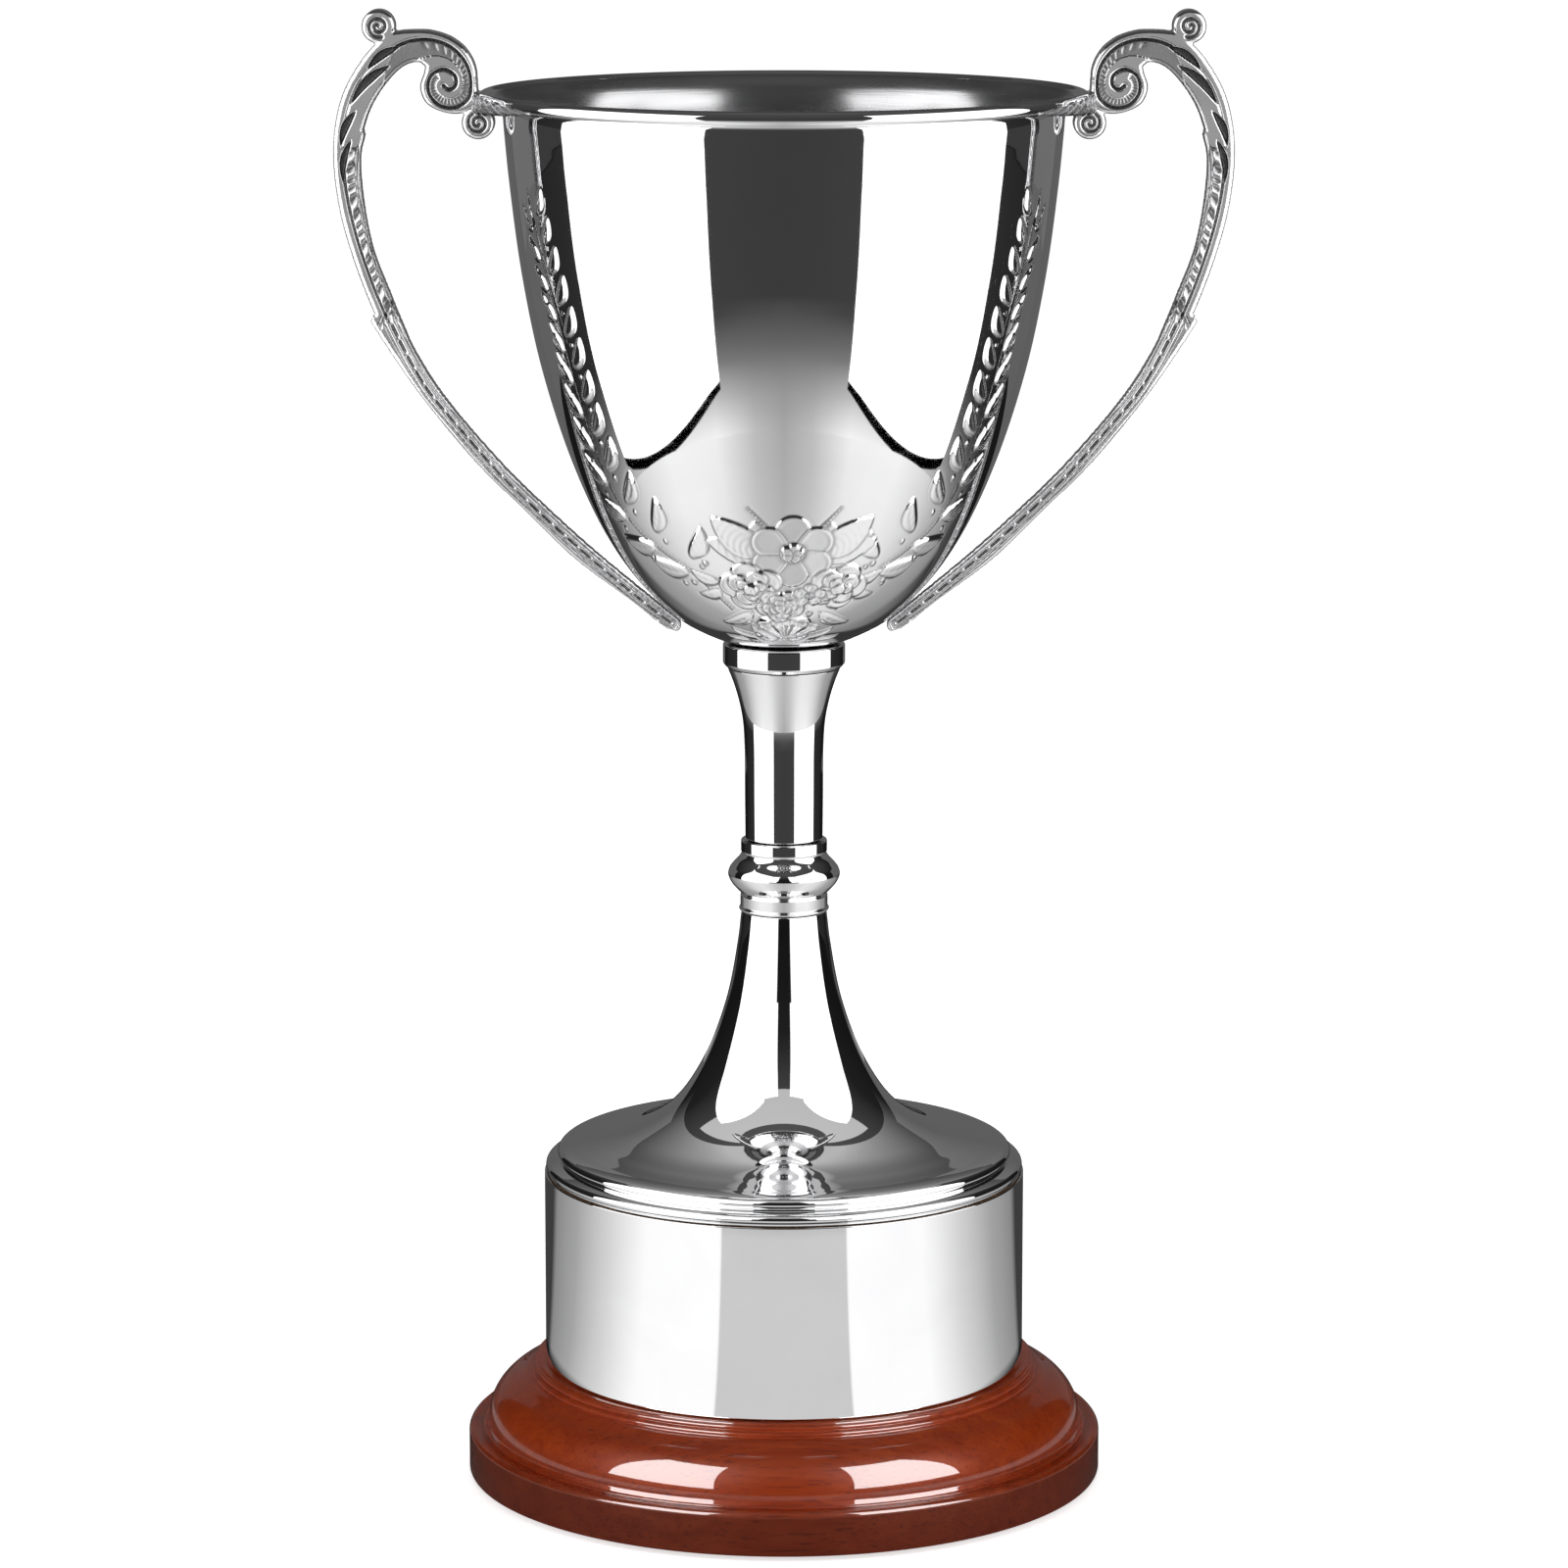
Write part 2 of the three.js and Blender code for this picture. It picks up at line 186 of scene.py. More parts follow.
def nickel_plate(name="nickel_plate", recesses=False):
    """Mirror-polished plate: faint polishing haze, and painted shade darkening the chased recesses."""
    material, tree, shader = new_material(name)
    haze = noise(tree, position(tree), 55.0, 4.0, 0.6)
    colour = ramp(tree, haze, [(0.3, (0.85, 0.85, 0.86)), (0.7, (0.88, 0.88, 0.885))])
    if recesses:
        # Painted shade: the colour darkens along the chased motifs' edges and recesses.
        painted_recess_shade = ramp(tree, cavity(tree), [(0.0, (1.0, 1.0, 1.0)), (1.0, (0.30, 0.30, 0.31))])
        colour = multiply(tree, colour, painted_recess_shade)
    wipes = noise(tree, stretched(tree, (1.0, 1.0, 6.0)), 120.0, 5.0)
    set_shader(
        tree,
        shader,
        Base_Color=colour,
        Metallic=1.0,
        Roughness=remap(tree, wipes, 0.01, 0.045),
    )
    swell = noise(tree, position(tree), 26.0, 1.0)
    add_bump(tree, shader, swell, 0.015, 0.001)
    return material


def satin_nickel():
    """The spun finish inside the bowl: fine lines round the axis."""
    material, tree, shader = new_material("satin_nickel")
    lines = noise(tree, stretched(tree, (0.02, 0.02, 1.0)), 2600.0, 2.0)
    cloud = noise(tree, position(tree), 30.0, 3.0)
    set_shader(
        tree,
        shader,
        Base_Color=ramp(tree, cloud, [(0.3, (0.60, 0.60, 0.61)), (0.7, (0.70, 0.70, 0.71))]),
        Metallic=1.0,
        Roughness=remap(tree, lines, 0.20, 0.30),
        Anisotropic=0.7,
        Anisotropic_Rotation=0.25,
    )
    tangent = add_node(tree, "ShaderNodeTangent", {"direction_type": "RADIAL", "axis": "Z"})
    tree.links.new(tangent.outputs["Tangent"], shader.inputs["Tangent"])
    add_bump(tree, shader, lines, 0.12, 0.0002)
    return material


def cast_nickel():
    """Bright plated casting: grainy, with painted shade darkening its recesses, and rubbed smooth on the
    ridges.
    """
    material, tree, shader = new_material("cast_nickel")
    grain = noise(tree, position(tree), 1500.0, 3.0)
    blotch = noise(tree, position(tree), 90.0, 4.0)
    plate = ramp(tree, blotch, [(0.3, (0.66, 0.66, 0.67)), (0.7, (0.78, 0.78, 0.79))])
    # Painted shade: the colour darkens to a tenth in the deepest recesses.
    painted_recess_shade = ramp(tree, cavity(tree), [(0.0, 1.0), (0.45, 0.50), (1.0, 0.10)])
    set_shader(
        tree,
        shader,
        Base_Color=multiply(tree, plate, painted_recess_shade),
        Metallic=1.0,
        Roughness=remap(tree, cavity(tree), 0.12, 0.42),
    )
    add_bump(tree, shader, grain, 0.25, 0.00015)
    return material


def mahogany():
    """Red mahogany under gloss lacquer, its grain running across the turned block.
    The upright edge, below about 12 mm, is darker."""
    material, tree, shader = new_material("mahogany")
    along = stretched(tree, (4.0, 46.0, 46.0))
    streaks = noise(tree, along, 6.0, 6.0, 0.7)
    pores = noise(tree, stretched(tree, (40.0, 700.0, 700.0)), 2.2, 2.0)
    tone = noise(tree, stretched(tree, (1.0, 3.0, 3.0)), 9.0, 2.0)
    grain = ramp(
        tree,
        streaks,
        [(0.28, (0.285, 0.029, 0.0012)), (0.5, (0.345, 0.038, 0.0016)), (0.75, (0.400, 0.050, 0.0022))],
    )
    height = math_node(tree, "MULTIPLY", upward(tree, position(tree)), 30.0)
    # Darker colour on the upright edge, below about 12 mm.
    edge = ramp(tree, height, [(0.33, 0.42), (0.40, 1.0)])
    light = ramp(tree, tone, [(0.3, (0.88, 0.86, 0.84)), (0.7, (1.0, 1.0, 1.0))])
    dots = ramp(tree, pores, [(0.34, (0.55, 0.5, 0.5)), (0.42, (1.0, 1.0, 1.0))])
    timber = multiply(tree, multiply(tree, grain, light), dots, 0.8)
    set_shader(
        tree,
        shader,
        Base_Color=multiply(tree, timber, edge),
        Roughness=remap(tree, streaks, 0.30, 0.45),
        Coat_Weight=1.0,
        Coat_Roughness=0.025,
        Coat_IOR=1.5,
        Specular_IOR_Level=0.1,
    )
    add_bump(tree, shader, streaks, 0.03, 0.0003)
    return material


def raw_timber():
    material, tree, shader = new_material("raw_timber")
    streaks = noise(tree, stretched(tree, (4.0, 40.0, 40.0)), 7.0, 5.0)
    colour = ramp(tree, streaks, [(0.3, (0.27, 0.14, 0.07)), (0.7, (0.48, 0.29, 0.16))])
    set_shader(tree, shader, Base_Color=colour, Roughness=remap(tree, streaks, 0.6, 0.8))
    add_bump(tree, shader, streaks, 0.2, 0.0003)
    return material


def green_baize():
    """Wool baize: short matted fibres."""
    material, tree, shader = new_material("green_baize")
    fibres = noise(tree, position(tree), 900.0, 6.0, 1.5)
    patches = noise(tree, position(tree), 60.0, 3.0)
    fine = ramp(tree, fibres, [(0.3, (0.010, 0.055, 0.030)), (0.7, (0.035, 0.130, 0.075))])
    worn = ramp(tree, patches, [(0.3, (0.8, 0.8, 0.8)), (0.7, (1.0, 1.0, 1.0))])
    set_shader(
        tree,
        shader,
        Base_Color=multiply(tree, fine, worn),
        Roughness=remap(tree, fibres, 0.85, 1.0),
        Sheen_Weight=0.5,
        Sheen_Roughness=0.5,
    )
    add_bump(tree, shader, fibres, 0.6, 0.0006)
    return material


def zinc_steel():
    material, tree, shader = new_material("zinc_steel")
    spangle = add_node(
        tree, "ShaderNodeTexVoronoi", {"feature": "F1"}, Vector=position(tree), Scale=700.0
    ).outputs["Color"]
    cloud = noise(tree, position(tree), 130.0)
    tint = ramp(tree, cloud, [(0.3, (0.50, 0.50, 0.47)), (0.7, (0.66, 0.66, 0.64))])
    set_shader(
        tree,
        shader,
        Base_Color=multiply(tree, tint, spangle, 0.15),
        Metallic=1.0,
        Roughness=remap(tree, noise(tree, position(tree), 400.0), 0.25, 0.45),
    )
    return material


MATERIALS = {
    "nickel_plate": nickel_plate(),
    "chased_nickel": nickel_plate("chased_nickel", recesses=True),
    "satin_nickel": satin_nickel(),
    "cast_nickel": cast_nickel(),
    "mahogany": mahogany(),
    "raw_timber": raw_timber(),
    "green_baize": green_baize(),
    "zinc_steel": zinc_steel(),
}


# ---------------------------------------------------------------- outline helpers


def smooth_curve(points, count):
    """Points of a centripetal Catmull-Rom curve through a few places, evenly along each span."""
    places = np.array(points, float)
    ends = [2 * places[0] - places[1]], [2 * places[-1] - places[-2]]
    padded = np.concatenate([ends[0], places, ends[1]])
    steps = np.sqrt(np.linalg.norm(np.diff(padded, axis=0), axis=1))
    knots = np.concatenate([[0], np.cumsum(steps)])
    wanted = np.linspace(knots[1], knots[-2], count)
    span = np.clip(np.searchsorted(knots, wanted, side="right") - 1, 1, len(places) - 1)
    p = [padded[span + k - 1] for k in range(4)]
    t = [knots[span + k - 1] for k in range(4)]

    def between(a, b, ta, tb):
        share = ((wanted - ta) / (tb - ta))[:, None]
        return a * (1 - share) + b * share

    a1 = between(p[0], p[1], t[0], t[1])
    a2 = between(p[1], p[2], t[1], t[2])
    a3 = between(p[2], p[3], t[2], t[3])
    b1 = between(a1, a2, t[0], t[2])
    b2 = between(a2, a3, t[1], t[3])
    return between(b1, b2, t[1], t[2])


def even_curve(points, count):
    """The same curve with its points at equal distances."""
    dense = smooth_curve(points, 40 * len(points))
    reach = np.concatenate([[0], np.cumsum(np.linalg.norm(np.diff(dense, axis=0), axis=1))])
    wanted = np.linspace(0, reach[-1], count)
    return np.stack([np.interp(wanted, reach, dense[:, k]) for k in range(dense.shape[1])], axis=1)


def arc(centre, radius, start, end, count):
    """Points of an arc between two angles in degrees. The radius may be a pair, for an ellipse."""
    angles = np.radians(np.linspace(start, end, count))
    rx, rz = radius if isinstance(radius, tuple) else (radius, radius)
    return np.stack([centre[0] + rx * np.cos(angles), centre[1] + rz * np.sin(angles)], axis=1)


def inset(points, distance):
    """The same open outline, moved to its left-hand side."""
    along = np.gradient(points, axis=0)
    along /= np.linalg.norm(along, axis=1)[:, None]
    return points + distance * np.stack([-along[:, 1], along[:, 0]], axis=1)


def softened(outline, radius):
    """Rounds each corner of a closed outline, and adds a point just outside each rounding,
    so that the flat parts beside it are shaded flat."""
    points = np.array(outline, float)
    result = []
    for i, p in enumerate(points):
        before, after = points[i - 1] - p, points[(i + 1) % len(points)] - p
        reach_before, reach_after = np.linalg.norm(before), np.linalg.norm(after)
        before, after = before / reach_before, after / reach_after
        turn = math.degrees(math.acos(np.clip(-before @ after, -1, 1)))
        if turn < 16:
            result.append(p)
            continue
        cut = min(radius, 0.3 * reach_before, 0.3 * reach_after)
        result.append(p + before * cut * 1.3)
        for t in np.linspace(0, 1, 5):
            start, end = p + before * cut, p + after * cut
            result.append((1 - t) ** 2 * start + 2 * t * (1 - t) * p + t**2 * end)
        result.append(p + after * cut * 1.3)
    return np.array(result)


# ---------------------------------------------------------------- mesh helpers


def add_piece(name, node, vertices, faces, material, cavity_values=None, normals=None):
    """A mesh from vertices in metres, in place of a CAD node on the root body.
    The material is a key of MATERIALS, or a list of keys with the slot's name given apart."""
    mesh = bpy.data.meshes.new(name)
    if isinstance(faces, np.ndarray):
        faces = faces.tolist()
    mesh.from_pydata(np.asarray(vertices, float), [], faces)
    for key in [material] if isinstance(material, str) else material:
        mesh.materials.append(MATERIALS[key])
    mesh.shade_smooth()
    if cavity_values is not None:
        attribute = mesh.attributes.new("cavity", "FLOAT", "POINT")
        attribute.data.foreach_set("value", np.asarray(cavity_values, np.float32))
    if normals is not None:
        mesh.normals_split_custom_set_from_vertices(normals)
    piece = bpy.data.objects.new(name, mesh)
    bpy.context.scene.collection.objects.link(piece)
    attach(piece, "root")
    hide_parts(node)
    return piece


def ring_faces(first, second, sides):
    """Quads between two rings that start at the given vertex numbers."""
    i = np.arange(sides)
    j = (i + 1) % sides
    return np.stack([first + i, first + j, second + j, second + i], axis=1)


def turned_mesh(outline, sides):
    """Vertices and quads of a solid of revolution about Z. The outline, in millimetres,
    runs up the outside and either closes on itself or starts and ends on the axis."""
    points = np.array(outline, float)
    on_axis = points[0][0] < 1e-9
    rings = points[1:-1] if on_axis else points
    angles = np.arange(sides) * 2 * math.pi / sides
    circle = np.stack([np.cos(angles), np.sin(angles)], axis=1)
    vertices = np.concatenate([np.column_stack([r * circle, np.full(sides, z)]) for r, z in rings])
    count = len(rings)
    faces = [ring_faces(k * sides, (k + 1) * sides, sides) for k in range(count - 1)]
    faces = np.concatenate(faces).tolist()
    if on_axis:
        bottom, top = len(vertices), len(vertices) + 1
        vertices = np.concatenate([vertices, [[0, 0, points[0][1]], [0, 0, points[-1][1]]]])
        i = np.arange(sides)
        j = (i + 1) % sides
        faces += np.stack([np.full(sides, bottom), j, i], axis=1).tolist()
        upper = (count - 1) * sides
        faces += np.stack([upper + i, upper + j, np.full(sides, top)], axis=1).tolist()
    else:
        faces += ring_faces((count - 1) * sides, 0, sides).tolist()
    return vertices * MM, faces


def turned_piece(name, node, outline, material, sides=192):
    vertices, faces = turned_mesh(outline, sides)
    return add_piece(name, node, vertices, faces, material)


def level(node):
    """The lowest and highest height of a CAD node and its largest radius, in millimetres."""
    low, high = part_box(node)
    return low.z / MM, high.z / MM, high.y / MM


# ---------------------------------------------------------------- plinth

BORE = 4.4  # radius of the holes that the tie rod passes through
SHELL_WALL = 1.2  # thickness of the spun pieces
PAD_GAP = 0.3
POCKET = 14.0  # radius and ceiling of the pocket for the nut under the base


def build_base():
    bottom, top, radius = level("plinth_base")
    pad_top = level("baize_pad")[1] + PAD_GAP
    pad_radius = level("baize_pad")[2] + PAD_GAP
    outline = [
        (BORE, top),
        (BORE, POCKET),
        (POCKET, POCKET),
        (POCKET, pad_top),
        (pad_radius, pad_top),
        (pad_radius, bottom),
        (radius, bottom),
        *arc((radius - 1.5, 11.3), 1.5, 0, 84, 7),
        (87.5, 12.2),
        *arc((86.7, 12.7), 0.6, -40, 130, 6),
        *arc((73.3, 14.2), (12.5, 13.2), 1, 70, 22),
        *smooth_curve([(76.2, 27.5), (74.6, 28.5), (73.3, 28.9)], 6)[1:],
        *arc((72.7, 29.7), 0.7, -50, 110, 7),
        *arc((71.6, 31.3), 0.75, -50, 110, 7),
        (71.0, top),
    ]
    turned_piece("plinth_base_turned", "plinth_base", softened(outline, 0.5), "mahogany", 256)


SEAM_ANGLE = math.pi / 2  # the band's seam is at the back
SEAM_HALF_WIDTH = 0.25
BAND_WALL = 0.8


def build_band():
    """The band as a rolled strip, its two ends meeting at the seam."""
    bottom, top, radius = level("plinth_band")
    inner = radius - BAND_WALL
    section = softened([(inner, bottom), (radius, bottom), (radius, top), (inner, top)], 0.25)
    half = SEAM_HALF_WIDTH / radius
    angles = SEAM_ANGLE + np.linspace(half, 2 * math.pi - half, 321)
    count = len(section)
    r, z = section.T
    vertices = np.concatenate([np.column_stack([r * math.cos(a), r * math.sin(a), z]) for a in angles])
    strips = [ring_faces(k * count, (k + 1) * count, count)[:, ::-1] for k in range(len(angles) - 1)]
    faces = np.concatenate(strips).tolist()
    faces.append(list(range(count)))
    faces.append([len(vertices) - 1 - k for k in range(count)])
    add_piece("plinth_band_polished", "plinth_band", vertices * MM, faces, "nickel_plate")


def build_pin(node):
    """A round-headed pin, lying along the horizontal radius through its CAD node."""
    low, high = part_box(node)
    centre = (low + high) / 2
    outward = Vector((centre.x, centre.y, 0)).normalized()
    reach = Vector((high.x, high.y, 0)).length / MM
    head = 69.1
    outline = [
        (0, reach - 8),
        (0.7, reach - 7),
        (0.7, head),
        (1.5, head),
        *arc((0, head), (1.5, 0.8), 8, 82, 7),
        (0, head + 0.8),
    ]
    vertices, faces = turned_mesh(outline, 24)
    across = Vector((-outward.y, outward.x, 0))
    turn = np.array([[across.x, 0, outward.x], [across.y, 0, outward.y], [0, 1, 0]])
    placed = vertices @ turn.T
    placed[:, 2] += centre.z
    flipped = [face[::-1] for face in faces]
    add_piece(node + "_head", node, placed, flipped, "nickel_plate")


def build_baize():
    low, high, radius = level("baize_pad")
    hole = 12.0
    outline = softened([(hole, low), (radius, low), (radius, high), (hole, high)], 0.3)
    piece = turned_piece("baize_disc", "baize_pad", outline, "green_baize")


# ---------------------------------------------------------------- foot, knop and stem


def build_foot():
    bottom, top, _ = level("foot")
    low_flare = [(60.0, 96.0), (53.5, 97.2), (43.8, 99.9), (32.4, 107.2)]
    high_flare = [(23.3, 120.3), (16.7, 137.6), (13.3, 154.8), (12.2, top)]
    flare = smooth_curve(low_flare + high_flare, 90)
    tiers = [
        (68.2, bottom),
        *arc((67.0, bottom + 1.6), (1.6, 1.6), -35, 72, 10),
        (65.6, bottom + 3.6),
        *arc((62.9, bottom + 5.2), (2.3, 2.0), -42, 76, 12),
        (61.6, bottom + 7.6),
    ]
    inside = inset(flare, SHELL_WALL)[::-1]
    outline = [
        *tiers,
        *flare,
        (BORE, top),
        (BORE, top - SHELL_WALL),
        *inside[2:-1],
        (63.2, bottom + 4.6),
        (65.6, bottom + 2.4),
        (65.6, bottom),
    ]
    turned_piece("foot_spun", "foot", softened(outline, 0.3), "nickel_plate", 256)


def build_knop():
    bottom, top, _ = level("knop")
    low_bead = [(12.4, 169.4), (13.6, 170.6), (15.1, 172.4), (16.0, 174.6)]
    high_bead = [(15.6, 176.4), (14.4, 178.0), (12.9, 179.6), (12.0, 181.0)]
    outline = [
        (BORE, bottom),
        (12.5, bottom),
        *arc((12.4, bottom + 0.5), 0.5, -60, 60, 6),
        (12.5, bottom + 1.2),
        (12.5, bottom + 4.4),
        (12.1, bottom + 4.7),
        *smooth_curve(low_bead + high_bead, 40),
        (12.3, 181.4),
        (12.3, top - 0.3),
        (12.0, top),
        (BORE, top),
    ]
    turned_piece("knop_turned", "knop", softened(outline, 0.25), "nickel_plate", 128)


def build_upper_stem():
    bottom, top, _ = level("upper_stem")
    tube = [(11.05, bottom), (11.15, 196), (11.3, 212), (11.8, 219.5)]
    side = smooth_curve(tube + [(13.0, 225.5), (14.5, 230.4), (16.1, top)], 60)
    inside = inset(side, SHELL_WALL)[::-1]
    outline = [*side, (BORE, top), (BORE, top - SHELL_WALL), *inside[2:-1], (inside[-1][0], bottom)]
    turned_piece("upper_stem_spun", "upper_stem", softened(outline, 0.2), "nickel_plate", 128)


def build_collar():
    bottom, top, radius = level("stem_collar")
    outline = [
        (BORE, bottom),
        (16.5, bottom),
        (radius, bottom + 1.1),
        (radius, top - 0.5),
        (radius - 0.6, top),
        (BORE, top),
    ]
    turned_piece("stem_collar_turned", "stem_collar", softened(outline, 0.25), "nickel_plate", 128)


# ---------------------------------------------------------------- bowl

BOWL_BOTTOM = level("bowl")[0]
BOWL_SIDE = [
    (16.0, BOWL_BOTTOM),
    (23.0, 244.9),
    (30.0, 248.9),
    (40.8, 259.2),
    (50.2, 272.7),
    (59.6, 293.1),
    (68.1, 319.8),
    (73.5, 346.3),
    (76.9, 372.6),
    (78.2, 386.5),
    (78.8, 393.0),
    (79.5, 394.4),
    (81.6, 395.8),
]
LIP_WIDTH = 0.9
LIP_RINGS = 3  # rings of faces round the lip, before the satin inside starts
BLOCK = 6  # fine cells along the side of a coarse cell
COLUMNS = 196 * BLOCK
ROWS = 70 * BLOCK
GRID = np.arange((ROWS + 1) * COLUMNS).reshape(ROWS + 1, COLUMNS)  # vertex numbers, row by row up the side


def facing(azimuth):
    """The unit direction of an azimuth, in degrees from the front towards +X."""
    angle = np.radians(azimuth)
    return np.stack([np.sin(angle), -np.cos(angle)], axis=-1)


class Relief:
    """The chased relief on the bowl, as heights over a grid of azimuth and distance up the side."""

    def __init__(self, side):
        self.side = side
        self.azimuth = np.arange(COLUMNS) * 360.0 / COLUMNS - 180.0
        self.reach = np.concatenate([[0], np.cumsum(np.linalg.norm(np.diff(side, axis=0), axis=1))])
        self.height = np.zeros((len(side), COLUMNS))
        self.cavity = np.zeros((len(side), COLUMNS))

    def window(self, azimuth, z, size, turn):
        """Local coordinates along and across a motif, with the grid cells that it may cover.
        The motif's own axis points up the bowl, turned clockwise by an angle in degrees."""
        reach = np.interp(z, self.side[:, 1], self.reach)
        radius = np.interp(reach, self.reach, self.side[:, 0])
        rows = np.flatnonzero(abs(self.reach - reach) < size)
        span = math.degrees(size / radius)
        off = (self.azimuth - azimuth + 180) % 360 - 180
        columns = np.flatnonzero(abs(off) < span)
        local_radius = 0.5 * (radius + self.side[rows, 0])
        across = np.radians(off[columns])[None, :] * local_radius[:, None]
        up = (self.reach[rows] - reach)[:, None] + 0 * across
        c, s = math.cos(math.radians(turn)), math.sin(math.radians(turn))
        along = up * c + across * s
        sideways = across * c - up * s
        return np.ix_(rows, columns), along, sideways

    def stamp(self, cells, inside, shape, halo=0.5):
        """Lays a motif over what is there. Inside is the distance in from its edge, in millimetres."""
        covered = inside > 0
        old = self.height[cells]
        rim = np.exp(-((inside / 0.30) ** 2))
        dip = np.exp(-((np.minimum(inside, 0) / halo) ** 2)) * (inside <= 0)
        lowered = np.where(dip > 0.05, old - 0.10 * dip, old)
        self.height[cells] = np.where(covered, shape, lowered)
        # Each motif's edge gets a high cavity value, which the chased_nickel material turns into a dark
        # outline of painted shade.
        dark = np.maximum(self.cavity[cells], 0.75 * rim)
        self.cavity[cells] = np.where(inside > 0.25, 0.0, dark)


def edge_rise(inside, width):
    """0 at a motif's edge to 1 a little way in, with a round shoulder."""
    share = np.clip(inside / width, 0, 1)
    return share * (2 - share)


def ridge(distance, width):
    """1 on a line, falling smoothly to 0 beside it."""
    return np.exp(-((distance / width) ** 2))


def inside_lobe(along, across, length, half):
    """The distance in from the edge of a lobe with its half width given along its length."""
    beyond = np.maximum(-along, along - length)
    return np.where(beyond > 0, -np.hypot(beyond, across), half - abs(across))


def leaf(relief, azimuth, z, turn, length, width, height):
    """A pointed oval leaf from its foot, with a midrib and side veins."""
    cells, along, across = relief.window(azimuth, z, length * 1.15, turn)
    share = np.clip(along / length, 0, 1)
    bend = 0.12 * length * np.sin(share * math.pi)
    across = across - bend * np.sign(turn)
    half = 0.5 * width * np.sin(math.pi * share**0.8) ** 0.75
    inside = inside_lobe(along, across, length, half)
    rise = height * (0.75 * edge_rise(inside, 0.75) + 0.25 * edge_rise(inside, 0.5 * width))
    rib = -0.16 * ridge(across, 0.32) * (share < 0.9)
    veins = 0.028 * np.sin((along - 1.2 * abs(across)) * 2 * math.pi / 2.3) * (inside > 0.4)
    relief.stamp(cells, inside, rise + rib + veins)


def bead(relief, azimuth, z, radius, height):
    cells, along, across = relief.window(azimuth, z, radius * 3, 0)
    inside = radius - np.hypot(along, across)
    relief.stamp(cells, inside, height * edge_rise(inside, radius), 0.35)


def petal(relief, azimuth, z, turn, length, width, base, height):
    """A round petal that starts at a flower's centre, dished inside a raised rolled rim."""
    cells, along, across = relief.window(azimuth, z, length * 1.2, turn)
    middle = length - width / 2
    from_middle = np.hypot(across, along - middle)
    wedge = width / 2 * np.clip(along / middle, 0, 1) ** 0.7 - abs(across)
    stalk = np.where(along < 0, -np.hypot(along, across), wedge)
    inside = np.where(along > middle, width / 2 - from_middle, stalk)
    rim = 0.40 * height * ridge(inside - 0.75, 0.48)
    dish = -0.32 * height * ridge(from_middle, 0.30 * width)
    relief.stamp(cells, inside, base + 0.65 * height * edge_rise(inside, 0.6) + rim + dish)


def blossom(relief, azimuth, z, radius, petals, height):
    """An open flower of round petals round a domed centre with a ring of small seeds."""
    for k in range(petals):
        petal(relief, azimuth, z, 360 * k / petals, radius, radius * 0.80, 0.0, height)
    bead(relief, azimuth, z, radius * 0.30, height * 1.2)
    for k in range(5):
        petal(relief, azimuth, z, 72 * k + 10, radius * 0.28, radius * 0.24, height * 1.1, 0.45)


def rose(relief, azimuth, z, radius, turn, height):
    """A full rose: rings of overlapping petals that climb to a curled heart."""
    for ring, (count, share) in enumerate(((5, 1.0), (4, 0.74), (3, 0.48))):
        for k in range(count):
            angle = turn + 360 * k / count + 38 * ring
            size = radius * share
            petal(relief, azimuth, z, angle, size, size * 0.95, 0.32 * ring, height)
    cells, along, across = relief.window(azimuth, z, radius * 0.3, turn)
    distance = np.hypot(along, across)
    inside = radius * 0.24 - distance
    curl = 0.16 * np.cos(np.arctan2(across, along) + distance * 2 * math.pi / 1.5)
    relief.stamp(cells, inside, 0.90 + height * edge_rise(inside, 0.7) + curl)


# A fan leaf's lobes, as (turn from the leaf's axis, share of its length, share of its width).
FAN_LOBES = [(-42, 0.62, 0.62), (50, 0.60, 0.72), (-14, 0.92, 0.80), (12, 1.0, 0.86)]


def fan_leaf(relief, azimuth, z, turn, length, width):
    """A broad leaf of overlapping curved lobes, with fine ribs that arch from its foot."""
    hand = math.copysign(1, turn)
    for spread, share, breadth in FAN_LOBES:
        cells, along, across = relief.window(azimuth, z, length * 1.2, turn - spread * hand)
        step = np.clip(along / (length * share), 0, 1)
        across = across + 0.22 * length * step * (step - 0.6) * hand
        half = 0.5 * width * breadth * np.sin(math.pi * step**0.75) ** 0.7
        inside = inside_lobe(along, across, length * share, half)
        ribs = 0.05 * np.cos(np.hypot(along, 1.5 * across) * 2 * math.pi / 1.9) * (inside > 0.7)
        rise = 0.36 * edge_rise(inside, 0.9) + 0.14 * ridge(inside - 0.7, 0.45)
        relief.stamp(cells, inside, rise + ribs)


def shell(relief, azimuth, z, turn, radius, opening):
    """A fluted fan with a scalloped edge."""
    cells, along, across = relief.window(azimuth, z, radius * 1.2, turn)
    angle = np.degrees(np.arctan2(across, along))
    flutes = np.cos(np.radians(angle) * 360 / (opening / 5))
    edge = radius * (1 + 0.05 * flutes) - np.hypot(along, across)
    inside = np.minimum(edge, np.radians(opening / 2 - abs(angle)) * np.hypot(along, across))
    relief.stamp(cells, inside, 0.45 + 0.25 * edge_rise(inside, 1.0) + 0.17 * flutes)


def beaded_spray(relief, azimuth, z, turn, length, count):
    """A row of beads that get smaller towards the tip."""
    for k in range(count):
        share = k / (count - 1)
        step = length * share
        up = step * math.cos(math.radians(turn))
        sideways = step * math.sin(math.radians(turn))
        reach = np.interp(z, relief.side[:, 1], relief.reach) + up
        ring_radius = np.interp(reach, relief.reach, relief.side[:, 0])
        height = np.interp(reach, relief.reach, relief.side[:, 1])
        place = azimuth + math.degrees(sideways / ring_radius)
        bead(relief, place, height, 0.78 - 0.36 * share, 0.35)


# The branch's stem, as (azimuth in degrees, height in millimetres), for the right-hand side.
STEM = [(22, 257), (33.2, 268), (42, 273.6), (49.2, 279), (53.8, 287),
        (56, 298), (57, 314), (59, 334), (62, 350), (65, 365)]
LEAF_PAIRS = 12


